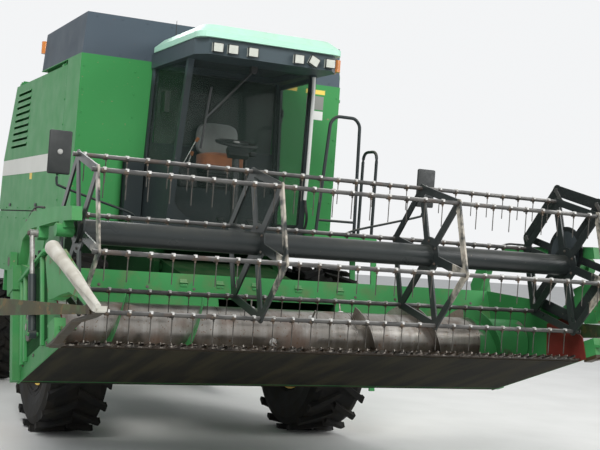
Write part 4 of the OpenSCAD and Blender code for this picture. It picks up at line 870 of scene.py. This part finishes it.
class PanelTrimOperator(bpy.types.Operator):
    """Makes the silver stripe on both side shields"""
    bl_idname = "harvester.panel_trim"
    bl_label = "Panel trim"

    def execute(self, context):
        for side, word in SIDES:
            body = "side_shield_" + word
            x, front = outer_face(body, side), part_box(body)[0][1] + 0.02
            foot, top, foot_rear, top_rear, thick = 2.50, 2.68, 3.425, 3.395, 0.003
            band = [(front, foot), (front, top), (top_rear, top), (foot_rear, foot)]
            shaped("stripe_" + body, body, "stripe_silver", [(add_prism, band, 0, x, x + side * thick)])
        return {"FINISHED"}


class BodyTrimOperator(bpy.types.Operator):
    """Makes the louvre lips, seam backs, stickers, bolts, latches, rear lenses, grille and stack cap"""
    bl_idname = "harvester.body_trim"
    bl_label = "Body trim"

    def execute(self, context):
        self.louvres()
        self.seam_backs()
        self.stickers()
        self.bolts(context.scene.harvester_looks.bolt_r)
        self.rear_lamps()
        self.deck()
        return {"FINISHED"}

    def louvres(self):
        face, lips = outer_face("side_shield_right", -1), []
        count, highest, pitch = 9, 3.449, 0.075
        for i in range(count):
            top = highest - i * pitch
            lip = [(face + 0.001, top + 0.012), (face - 0.009, top - 0.006),
                   (face - 0.009, top - 0.010), (face + 0.001, top - 0.001)]
            lips.append((add_prism, lip, 1, 2.052 + i * 0.008, 2.768 + i * 0.030))
        shaped("louvre_lips", "side_shield_right", "green_body", lips)

    def seam_backs(self):
        shaped("seam_backs", "machine", "black_rubber",
               [(add_box, (side * 1.3645, -0.12, 2.05), (side * 1.352, 3.46, 2.115)) for side in (-1, 1)])

    def stickers(self):
        """Thin blank stickers; the first four lie on the tank's front wall, between the given X and Z."""
        sunk, proud = 0.0004, 0.0012
        wall = tank_wall()
        for i, (colour, x0, x1, z0, z1) in enumerate((
                ("yellow", 0.735, 0.885, 3.505, 3.550), ("yellow", 0.985, 1.205, 3.500, 3.545),
                ("grey", 1.000, 1.195, 3.340, 3.480), ("white", 1.095, 1.195, 3.235, 3.325))):
            shaped(f"sticker_{i + 1}", "machine", "sticker_" + colour,
                   [(add_box, (x0, wall - proud, z0), (x1, wall + sunk, z1))])
        face = outer_face("side_shield_right", -1)
        shaped("sticker_side", "side_shield_right", "sticker_yellow",
               [(add_box, (face - proud, 1.70, 2.43), (face + sunk, 1.82, 2.53))])

    def bolts(self, r):
        wall, height, front = tank_wall(), 0.006, (0, -1, 0)
        places = [(x, wall, 2.16 + 0.22 * k) for x in (-0.84, -1.345, 0.84, 1.345) for k in range(7)]
        repeat_on_points("wall_bolts", "machine", "green_body", places, hex_bolt(r, height, front))
        for side, word in SIDES:
            shield, out = "side_shield_" + word, (side, 0, 0)
            x, edge = outer_face(shield, side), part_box(shield)[0][1] + 0.03
            places = [(x, y, 2.115) for y in (1.05, 1.7, 2.35, 3.0)]
            places += [(x, edge, 2.2 + 0.25 * k) for k in range(5)]
            repeat_on_points("shield_bolts_" + word, shield, "green_body", places, hex_bolt(r, height, out))
            latches = [(add_box, (x, y, 2.13), (x + side * 0.009, y + 0.10, 2.165)) for y in (1.35, 2.75)]
            shaped("shield_latches_" + word, shield, "moulded_plastic", latches, 0.003)
            x = outer_face("lower_panels", side)
            places = [(x, y, z) for z in (1.45, 2.0) for y in (1.15, 1.5, 1.95, 2.4, 2.9, 3.3)]
            repeat_on_points("panel_bolts_" + word, "machine", "green_body", places, hex_bolt(r, height, out))
        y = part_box("tank_extension")[0][1] + 0.001
        places = [(x * 0.25, y, z) for x in range(-5, 6) for z in (3.625, 3.965)]
        repeat_on_points("extension_bolts", "machine", "tank_dark", places, hex_bolt(r, 0.005, front))

    def rear_lamps(self):
        lenses = [(add_box, (x - 0.046, 4.476, 2.006), (x + 0.046, 4.486, 2.094)) for x in (-0.57, 0.57)]
        shaped("rear_lenses", "machine", "red_glass", lenses, 0.003)

    def deck(self):
        tilt = Matrix.Rotation(math.radians(12), 4, "X")
        shaped("deck_grille", "machine", "cab_dark",
               [(add_box, (-0.40, y, 3.678), (0.40, y + 0.022, 3.688), tilt)
                for y in (1.93 + k * 0.042 for k in range(18))])
        x, y = 0.60, 2.25
        shaped("stack_cap", "machine", "dull_cast",
               [(add_rod, (x, y, 3.90), (x, y, 3.935), 0.066, 0.066, 32),
                (add_rod, (x, y, 3.93), (x, y, 3.945), 0.050, 0.046, 32)], 0.002)


class CabTrimOperator(bpy.types.Operator):
    """Makes the mirrors, rails, lamp bezels, controls, pillar rail, hose and aerial of the cab"""
    bl_idname = "harvester.cab_trim"
    bl_label = "Cab trim"

    def execute(self, context):
        self.mirrors()
        self.rails()
        self.bezels()
        self.controls()
        rail = [(0.604, -1.118, 3.515), (0.622, -1.092, 3.30), (0.642, -1.05, 2.95), (0.655, -1.016, 2.60),
                (0.662, -0.985, 2.36)]
        tube("pillar_rail", "machine", "rail_white", smooth_path(rail), 0.017, 14)
        hose = [(0.662, -0.987, 2.38), (0.672, -0.99, 2.30), (0.69, -0.995, 2.20), (0.70, -0.965, 2.12),
                (0.70, -0.93, 2.064)]
        tube("pillar_hose", "machine", "black_rubber", smooth_path(hose), 0.013)
        shaped("antenna", "machine", "black_rubber",
               [(add_rod, (-0.494, -0.24, 3.795), (-0.494, -0.24, 3.83), 0.022, 0.014, 16),
                (add_rod, (-0.494, -0.24, 3.82), (-0.494, -0.235, 4.015), 0.005, 0.0025, 8)])
        return {"FINISHED"}

    def mirrors(self):
        """Heads on bent arms that stand on the platform's edge at foot; bosses at both ends of an arm."""
        heads, glass, knobs, arms = bmesh.new(), bmesh.new(), bmesh.new(), []
        for side, word, foot in ((1, "left", (1.075, -1.062, 2.050)),
                                 (-1, "right", (-0.975, -0.940, 2.052))):
            near, far, stem = side * 1.688, side * 1.882, side * MIRROR_X
            add_box(heads, (near, -1.330, 2.378), (far, -1.298, 2.746))
            add_box(glass, (near + side * 0.018, -1.2985, 2.396), (far - side * 0.018, -1.2965, 2.728))
            add_rod(knobs, (stem, -1.340, 2.566), (stem, -1.329, 2.566), 0.020, 0.024, 20)
            x, y, z = foot
            turn_x, turn_y = x + side * 0.09, y - 0.06
            path = [(stem, -1.286, 2.60), (stem, -1.286, 2.42), (stem, -1.285, 2.31),
                    (side * 1.74, -1.274, 2.278), ((stem + turn_x) / 2, (turn_y - 1.285) / 2, 2.20),
                    (turn_x, turn_y, z + 0.06), (x, y, z + 0.012)]
            arms.append(tube("mirror_arm_" + word, "machine", "cab_dark", smooth_path(path), 0.011,
                             slot="dark_plastic"))
            add_rod(knobs, foot, (x, y, z + 0.016), 0.020)
            add_rod(knobs, (stem, -1.300, 2.566), (stem, -1.277, 2.566), 0.020)
        for p in (bm_piece("mirror_heads", "machine", "moulded_plastic", heads, 0.015, 3),
                  bm_piece("mirror_faces", "machine", "mirror_glass", glass, 0.0005, 1),
                  bm_piece("mirror_bosses", "machine", "boss_grey", knobs, 0.002), *arms):
            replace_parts(p, "mirrors")

    def rails(self):
        """The loop beside the ladder with its cross bar, and the grab rail at the platform's outer edge."""
        low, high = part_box("handrails")
        floor, x, y, r = low[2], high[0] - 0.028, low[1] + 0.024, 0.016
        foot = floor + 0.004
        loop = [(0.760, y, foot), (0.835, y, 3.12), (0.895, y, 3.18), (1.095, y, 3.18), (1.150, y, 3.12),
                (1.170, y, foot)]
        grab = [(x, -0.630, foot), (x, -0.630, 2.93), (x, -0.340, 2.93), (x, -0.340, foot)]
        rails = [tube("rail_loop", "machine", "cab_dark", bent_path(loop), r, 16),
                 tube("rail_cross", "machine", "cab_dark", [(0.768, y, 2.18), (1.166, y, 2.18)], 0.012),
                 tube("rail_grab", "machine", "cab_dark", bent_path(grab, 0.10), r, 16)]
        bm = bmesh.new()
        for fx, fy in ((0.760, y), (1.170, y), (x, -0.630), (x, -0.340)):
            add_box(bm, (fx - 0.028, fy - 0.024, floor), (fx + 0.028, fy + 0.024, floor + 0.008))
            for dx in (-0.02, 0.02):
                add_rod(bm, (fx + dx, fy, floor + 0.007), (fx + dx, fy, floor + 0.013), 0.006, sides=6)
        for p in (*rails, bm_piece("rail_feet", "machine", "cab_dark", bm)):
            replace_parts(p, "handrails")

    def bezels(self):
        """A frame of four bars round each work lamp, at its X and with its tilt."""
        half, bar, front, back = (0.049, 0.042), 0.006, -0.046, -0.030
        bm = bmesh.new()
        for x, tilt in ((-0.528, 0), (-0.387, 0), (-0.198, 0), (0.249, 0), (0.399, 25), (0.561, 0)):
            first = len(bm.verts)
            for z in (half[1] - bar, -half[1]):
                add_box(bm, (-half[0], front, z), (half[0], back, z + bar))
            for side in (-half[0], half[0] - bar):
                add_box(bm, (side, front, -half[1]), (side + bar, back, half[1]))
            bm.verts.ensure_lookup_table()
            turn = Matrix.Translation((x, -1.5, 3.590)) @ Matrix.Rotation(math.radians(tilt), 4, "Y")
            bmesh.ops.transform(bm, matrix=turn, verts=bm.verts[first:])
        bm_piece("lamp_bezels", "machine", "moulded_plastic", bm)

    def controls(self):
        """Console with levers, pedals, the small screen and the steering wheel's cap."""
        side = [(-0.58, 2.40), (-0.58, 2.52), (-0.52, 2.60), (-0.22, 2.60), (-0.22, 2.40)]
        shaped("console", "machine", "moulded_plastic",
               [(add_prism, side, 0, -0.46, -0.29), (add_box, (-0.44, -0.50, 2.595), (-0.31, -0.32, 2.615)),
                (add_box, (0.27, -0.50, 2.76), (0.33, -0.24, 2.80)),
                (add_box, (0.29, -0.32, 2.45), (0.31, -0.26, 2.77))], 0.006)
        levers, knobs = [], []
        for x, y, dx, dy, dz in ((-0.41, -0.46, 0.10, -0.06, 0.25), (-0.34, -0.42, 0.02, -0.03, 0.12),
                                 (-0.43, -0.36, 0.0, -0.02, 0.10)):
            foot, top = (x, y, 2.60), 2.60 + dz
            levers.append((add_rod, foot, (x + dx, y + dy, top), 0.006, 0.006, 10))
            knobs.append((add_rod, (x + dx, y + dy, top - 0.01), (x + dx * 1.2, y + dy * 1.2, top + 0.03),
                          0.015, 0.018, 14))
        shaped("lever_rods", "machine", "bright_chrome", levers)
        shaped("lever_knobs", "machine", "knob_orange", knobs, 0.003)
        dash_tilt, pedal_tilt = (Matrix.Rotation(math.radians(tilt), 4, "X") for tilt in (-35, 25))
        shapes = [(add_box, (-0.10, -0.86, 2.70), (0.10, -0.80, 2.80), dash_tilt)]
        for x in (-0.16, 0.14, 0.24):
            shapes += [(add_box, (x, -0.90, 2.10), (x + 0.07, -0.80, 2.115), pedal_tilt),
                       (add_rod, (x + 0.035, -0.84, 2.10), (x + 0.035, -0.88, 2.058), 0.007, 0.007, 8)]
        shapes.append((add_box, (-0.62, -0.44, 3.10), (-0.57, -0.30, 3.30)))
        shaped("panel_and_pedals", "machine", "moulded_plastic", shapes, 0.003)
        shaped("wheel_cap", "machine", "boss_grey",
               [(add_rod, (0, -0.7925, 2.852), (0, -0.795, 2.862), 0.032, 0.028, 24)], 0.001)


class HeaderTrimOperator(bpy.types.Operator):
    """Makes hoses, pins, bolts and hinges of the header and the reel arms, and the auger's drive"""
    bl_idname = "harvester.header_trim"
    bl_label = "Header trim"

    def execute(self, context):
        for side, word, inner in ((-1, "right", 2.095), (1, "left", 2.132)):
            self.arm(side, word, inner)
        self.back()
        for side, word in SIDES:
            face = side * HEADER_SIDE_X
            spots = (-2.95, 0.45), (-2.7, 0.34), (-2.3, 0.34), (-1.95, 0.34), (-1.95, 0.9), (-2.25, 0.9)
            bolts = [(add_rod, (face, *at), (face + side * 0.008, *at), 0.012, 0.012, 6) for at in spots]
            shaped("end_bolts_" + word, "header", "dull_cast", bolts, slot="green_paint", level=True)
        self.end_drive()
        for k, x in enumerate((2.232, 2.260)):
            self.hose(f"motor_hose_{k + 1}", x,
                      [(-3.10, 1.10), (-2.98, 1.19), (-2.80, 1.24), (-2.55, 1.31)])
        return {"FINISHED"}

    def hose(self, name, x, path):
        """A hose fixed along a reel arm, its path given in the level header's frame."""
        tube(name, "reel_arms", "black_rubber", smooth_path([(x, *raised(*p)) for p in path]), 0.009)

    def arm(self, side, word, inner):
        """Hose with its fittings on top of a reel arm, and the pins at the arm's side."""
        mid, out = side * (inner + 0.035), side * (inner + 0.07)
        self.hose("arm_hose_" + word, mid, [(-2.02, 1.447), (-1.98, 1.475), (-2.10, 1.500), (-2.24, 1.490),
                                            (-2.36, 1.452), (-2.50, 1.400)])
        shapes = []
        for y in (-2.02, -2.20):
            across, foot, top = raised(y, 1.452), raised(y, 1.44), raised(y, 1.485)
            shapes += [(add_rod, (mid - 0.03, *across), (mid + 0.03, *across), 0.014, 0.014, 12),
                       (add_rod, (mid, *foot), (mid, *top), 0.013, 0.013, 12)]
        shaped("arm_fittings_" + word, "reel_arms", "dull_cast", shapes, 0.001)
        pins = (raised(-1.708, 1.215), 0.040, 0.050), (raised(-2.445, 1.215), 0.018, 0.062)
        shaped("arm_pins_" + word, "reel_arms", "dull_cast",
               [(add_rod, (out + side * x, *at), (out + side * (x + 0.012), *at), r, r * 0.9, 24)
                for at, r, x in pins])

    def back(self):
        """Bolts, hinges and the seam strip on the front of the back sheet."""
        places = [(x, *raised(-1.867, z)) for x in (-1.95, -1.55, -1.15, -0.75, 0.75, 1.15, 1.55, 1.95)
                  for z in (0.42, 0.72, 1.02)]
        repeat_on_points("back_bolts", "header", "dull_cast", places, hex_bolt(0.010, 0.006, (0, -1, 0)),
                         [HEADER_TILT] * len(places))
        shapes = []
        for x in (-0.84, -0.52, -0.2, 0.2, 0.6):
            shapes += [(add_box, (x - 0.03, -1.872, 1.035), (x + 0.03, -1.8665, 1.10)),
                       (add_rod, (x - 0.035, -1.875, 1.068), (x + 0.035, -1.875, 1.068), 0.007, 0.007, 10)]
        shapes.append((add_box, (-2.14, -1.8705, 0.955), (2.14, -1.8665, 0.975)))
        shaped("back_hinges", "header", "green_header", shapes, 0.001, level=True)

    def end_drive(self):
        """The auger's chain drive on the right end, in its open frame over a near-black plate that is painted
        shade in the frame's opening.
        """
        face = -HEADER_SIDE_X
        # A near-black plate behind the drive's frame: painted shade of the open recess.
        shaped("drive_back", "header", "feeder_paint",
               [(add_box, (face - 0.003, -2.72, 0.37), (face + 0.001, -1.93, 0.985))], level=True)
        bars = [(add_box, (face - depth, y0, z0), (face - 0.001, y1, z1)) for depth, y0, y1, z0, z1 in (
            (0.026, -1.975, -1.935, 0.34, 0.99), (0.026, -2.095, -2.055, 0.34, 0.99),
            (0.026, -2.640, -2.600, 0.34, 0.99), (0.034, -2.74, -1.92, 0.985, 1.010),
            (0.020, -2.62, -2.30, 0.62, 0.65))]
        shaped("drive_frame", "header", "green_header", bars, 0.002, level=True)
        wheels = []
        for y, z, r in ((-2.186, 0.575, 0.105), (-2.300, 0.880, 0.055)):
            wheels += [(add_rod, (face - 0.002, y, z), (face - 0.018, y, z), r, r, 36),
                       (add_rod, (face - 0.017, y, z), (face - 0.034, y, z), 0.030, 0.026, 20)]
        shaped("drive_sprockets", "header", "dull_cast", wheels, 0.001, level=True)
        shaped("drive_chain", "header", "guard_cast",
               [(add_rod, (face - 0.010, *a), (face - 0.010, *b), 0.008, 0.008, 8) for a, b in (
                   ((-2.085, 0.603), (-2.247, 0.898)), ((-2.286, 0.545), (-2.354, 0.868)))],
               slot="worn_steel", level=True)


class AugerOperator(bpy.types.Operator):
    """Makes the auger with two opposed flights that feed towards the middle, and its fingers"""
    bl_idname = "harvester.auger"
    bl_label = "Auger"

    def execute(self, context):
        low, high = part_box("header_auger")
        half, shaft_r, fingers, finger_pitch = 2.138, 0.025, 8, 0.12
        y, z = AUGER_AT
        bm, guides = bmesh.new(), bmesh.new()
        add_rod(bm, (-half, y, z), (half, y, z), DRUM_R, sides=72)
        add_rod(bm, (low[0], y, z), (high[0], y, z), shaft_r)
        for side, at_top in ((1, 0.405), (-1, 0.215)):
            self.flight(bm, side, at_top, DRUM_R - 0.006, FLIGHT_R, half - 0.010)
        for i in range(fingers):
            turn = math.radians(100 * i)
            out = Vector((0, -math.sin(turn), math.cos(turn)))
            foot = Vector((-0.42 + finger_pitch * i, y, z))
            add_rod(bm, foot + out * (DRUM_R - 0.01), foot + out * (FLIGHT_R - 0.004), 0.008, 0.007, 14)
            add_rod(guides, foot + out * (DRUM_R - 0.004), foot + out * (DRUM_R + 0.012), 0.034, 0.022)
        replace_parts(bm_piece("auger_drum", "header_auger", "auger_steel", bm), "header_auger")
        bm_piece("finger_guides", "header_auger", "clip_plastic", guides, 0.002)
        return {"FINISHED"}

    def flight(self, bm, side, at_top, inner, outer, end):
        """A band round the drum that goes down the front on its way out; it is on top at X at_top."""
        start, pitch, steps, half_thick = 0.45, 0.62, 40, 0.004
        n = int((end - start) / pitch * steps)
        rows = []
        for x in (start + (end - start) * i / n for i in range(n + 1)):
            turn = (x - at_top) / pitch * 2 * math.pi
            rows.append([bm.verts.new((side * (x + dx), AUGER_AT[0] - r * math.sin(turn),
                                       AUGER_AT[1] + r * math.cos(turn)))
                         for r, dx in ((inner, -half_thick), (outer, -half_thick), (outer, half_thick),
                                       (inner, half_thick))])
        add_rings(bm, rows)


class SeatOperator(bpy.types.Operator):
    """Makes the seat: padded cushion and back on a bellows base"""
    bl_idname = "harvester.seat"
    bl_label = "Seat"

    def execute(self, context):
        cushion = self.pad("seat_cushion", (-0.232, -0.575, 2.600), (0.205, -0.25, 2.765), "seat_weave")
        back = self.pad("seat_back", (-0.21, -0.30, 2.735), (0.21, -0.205, 3.06), "seat_grey")
        folds = [(add_box, (-0.17, -0.51, z), (0.17, -0.28, z + 0.013))
                 for z in (2.43 + k * 0.025 for k in range(6))]
        base = shaped("seat_base", "machine", "moulded_plastic",
                      [(add_box, (-0.15, -0.49, 2.402), (0.15, -0.30, 2.59)), *folds], 0.004)
        for p in (cushion, back, base):
            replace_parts(p, "seat")
        return {"FINISHED"}

    def pad(self, name, low, high, finish):
        """A crowned pad between two corners: sides pulled in, two sewn channels across its thin way."""
        edge_thickness, pull, groove_x, groove_width, groove_depth = 0.62, 0.030, 0.55, 0.06, 0.006
        bm = bmesh.new()
        add_box(bm, low, high)
        bmesh.ops.subdivide_edges(bm, edges=bm.edges, cuts=9, use_grid_fill=True)
        low, high = Vector(low), Vector(high)
        mid, half = (low + high) / 2, (high - low) / 2
        thin = min(range(3), key=lambda i: half[i])
        a, b = (i for i in range(3) if i != thin)
        for v in bm.verts:
            u = Vector([(v.co[i] - mid[i]) / half[i] for i in range(3)])
            bulge = (1 - u[a] ** 4) * (1 - u[b] ** 4)
            v.co[thin] = mid[thin] + u[thin] * half[thin] * (edge_thickness + (1 - edge_thickness) * bulge)
            v.co[a] = mid[a] + u[a] * (half[a] - pull * u[b] ** 4)
            v.co[b] = mid[b] + u[b] * (half[b] - pull * u[a] ** 4)
            groove = math.exp(-((abs(u[0]) - groove_x) / groove_width) ** 2) * groove_depth
            v.co[thin] -= math.copysign(groove, u[thin]) * bulge
        obj = bm_piece(name, "machine", finish, bm)
        mod = obj.modifiers.new("soft", "SUBSURF")
        mod.levels = mod.render_levels = 2
        return obj


class ReelTrimOperator(bpy.types.Operator):
    """Clips the tines to the bats, winds their coils and bolts the spiders"""
    bl_idname = "harvester.reel_trim"
    bl_label = "Reel trim"

    def execute(self, context):
        def clip(bm):
            add_box(bm, (-0.011, -0.009, 0.0135), (0.011, 0.009, 0.0215))
            add_box(bm, (-0.007, -0.0215, 0.002), (0.007, -0.0135, 0.0180))

        def coil(bm):
            for x in (-0.022 + k * 0.0062 for k in range(5)):
                add_rod(bm, (x, 0, -0.0035), (x + 0.0045, 0, -0.0035), 0.0182, sides=12)
            add_box(bm, (-0.005, -0.006, -0.034), (0.005, 0.006, -0.014))

        half = SPIDERS_X[-1]
        tines = [-half + 0.045 + k * TINE_PITCH for k in range(int(2 * half / TINE_PITCH) + 1)]
        for i, place in enumerate(BATS):
            body = f"reel_bat_{i + 1}"
            places = [(x, *place) for x in tines]
            repeat_on_points(f"tine_clips_{i + 1}", body, "clip_plastic", places, stamp_mesh("clip", clip))
            repeat_on_points(f"tine_coils_{i + 1}", body, "coil_steel", places, stamp_mesh("coil", coil))
        places, turns, ring, half_plate = [], [], 0.118, 0.007
        for x in SPIDERS_X:
            for side in (-1, 1):
                for a in (math.radians(30 + 60 * k) for k in range(6)):
                    places.append((x + side * half_plate, REEL_AT[0] + ring * math.cos(a),
                                   REEL_AT[1] + ring * math.sin(a)))
                    turns.append((0, 0, 0 if side > 0 else math.pi))
        repeat_on_points("spider_bolts", "reel", "dull_cast", places, hex_bolt(0.009, 0.009, (1, 0, 0)),
                         turns)
        return {"FINISHED"}


class WheelTrimOperator(bpy.types.Operator):
    """Makes wheel nuts, hub caps and the ribs on the tyres' walls"""
    bl_idname = "harvester.wheel_trim"
    bl_label = "Wheel trim"

    def execute(self, context):
        for name, x, y, r, rim, width, nuts in (("front", 1.31, 0.0, 0.85, 0.40, 0.56, 10),
                                                ("rear", 1.28, 3.65, 0.62, 0.27, 0.38, 8)):
            for side, word in SIDES:
                self.dress(f"{name}_wheel_{word}", side, (side * x, y, r), rim, width, nuts)
        return {"FINISHED"}

    def dress(self, body, side, hub, rim, width, nuts):
        """Nuts on the rim's disc, the hub's cap, and ribs on the outer wall, round a hub."""
        x, y, z = hub
        ring, disc = 0.132, side * 0.026
        angles = (2 * math.pi * k / nuts for k in range(nuts))
        places = [(x + disc, y + ring * math.cos(a), z + ring * math.sin(a)) for a in angles]
        turns = [(0, 0, 0 if side > 0 else math.pi)] * nuts
        repeat_on_points(body + "_nuts", body, "dull_cast", places, hex_bolt(0.014, 0.02, (1, 0, 0)), turns)
        shaped(body + "_cap", body, "yellow_rim",
               [(add_rod, (x + side * 0.094, y, z), (x + side * 0.118, y, z), 0.088, 0.060, 32),
                (add_rod, (x + side * 0.11, y, z), (x + side * 0.13, y, z), 0.030, 0.026, 16)], 0.002)
        wall = (x + side * (width / 2 - 0.020), y, z)
        shaped(body + "_ribs", body, "tyre_rubber",
               [(self.rib, wall, rim + out) for out in (0.075, 0.12, 0.165)])

    def rib(self, bm, middle, radius, thick=0.005, steps=72, sides=6):
        """A thin ring round the wheel's axle."""
        x, y, z = middle
        section = [2 * math.pi * k / sides for k in range(sides)]
        rows = [[bm.verts.new((x + thick * math.cos(t), y + (radius + thick * math.sin(t)) * math.cos(a),
                               z + (radius + thick * math.sin(t)) * math.sin(a))) for t in section]
                for a in (2 * math.pi * i / steps for i in range(steps))]
        add_rings(bm, rows, loop=True)


class CutterTrimOperator(bpy.types.Operator):
    """Makes the knife sections and hold-down clips along the cutterbar"""
    bl_idname = "harvester.cutter_trim"
    bl_label = "Cutterbar trim"

    def execute(self, context):
        def section(bm):
            half = KNIFE_PITCH / 2
            blade = [(-half + 0.001, 0.02), (half - 0.001, 0.02), (half - 0.002, -0.01), (0.008, -0.066),
                     (-0.008, -0.066), (-half + 0.002, -0.01)]
            add_prism(bm, blade, 2, 0.0, 0.003)

        def clip(bm):
            add_box(bm, (-0.018, -0.01, 0.0), (0.018, 0.045, 0.006))
            add_box(bm, (-0.012, -0.026, 0.0), (0.012, -0.008, 0.012))

        half_knife = 2.10
        n = int(half_knife / KNIFE_PITCH)
        for name, build, pitch, each_way, place in (
                ("section", section, KNIFE_PITCH, n, raised(-3.022, 0.2685)),
                ("clip", clip, 2 * TINE_PITCH, 6, raised(-3.0, 0.2725))):
            spots = [(k * pitch, *place) for k in range(-each_way, each_way + 1)]
            repeat_on_points(f"knife_{name}s", "header", "guard_cast", spots, stamp_mesh(name, build),
                             [HEADER_TILT] * len(spots))
        return {"FINISHED"}


class HarvesterPanel(bpy.types.Panel):
    """Lists the steps that dress the harvester"""
    bl_idname = "VIEW3D_PT_harvester"
    bl_label = "Combine harvester"
    bl_space_type = "VIEW_3D"
    bl_region_type = "UI"
    bl_category = "Harvester"

    def draw(self, context):
        looks = context.scene.harvester_looks
        for field in ("paint", "pale", "shade", "bolt_r", "lamp_power"):
            self.layout.prop(looks, field)
        for step in STEPS:
            self.layout.operator(step.bl_idname)


STEPS = (PaintOperator, StageOperator, PanelTrimOperator, BodyTrimOperator, CabTrimOperator,
         HeaderTrimOperator, AugerOperator, SeatOperator, ReelTrimOperator, WheelTrimOperator,
         CutterTrimOperator)
CLASSES = (HarvesterLooks, HarvesterPanel, *STEPS)


def register():
    for cls in CLASSES:
        bpy.utils.register_class(cls)
    bpy.types.Scene.harvester_looks = bpy.props.PointerProperty(type=HarvesterLooks)


def unregister():
    del bpy.types.Scene.harvester_looks
    for cls in reversed(CLASSES):
        bpy.utils.unregister_class(cls)


def main():
    register()
    for step in STEPS:
        group, name = step.bl_idname.split(".")
        getattr(getattr(bpy.ops, group), name)()


if __name__ == "__main__":
    main()
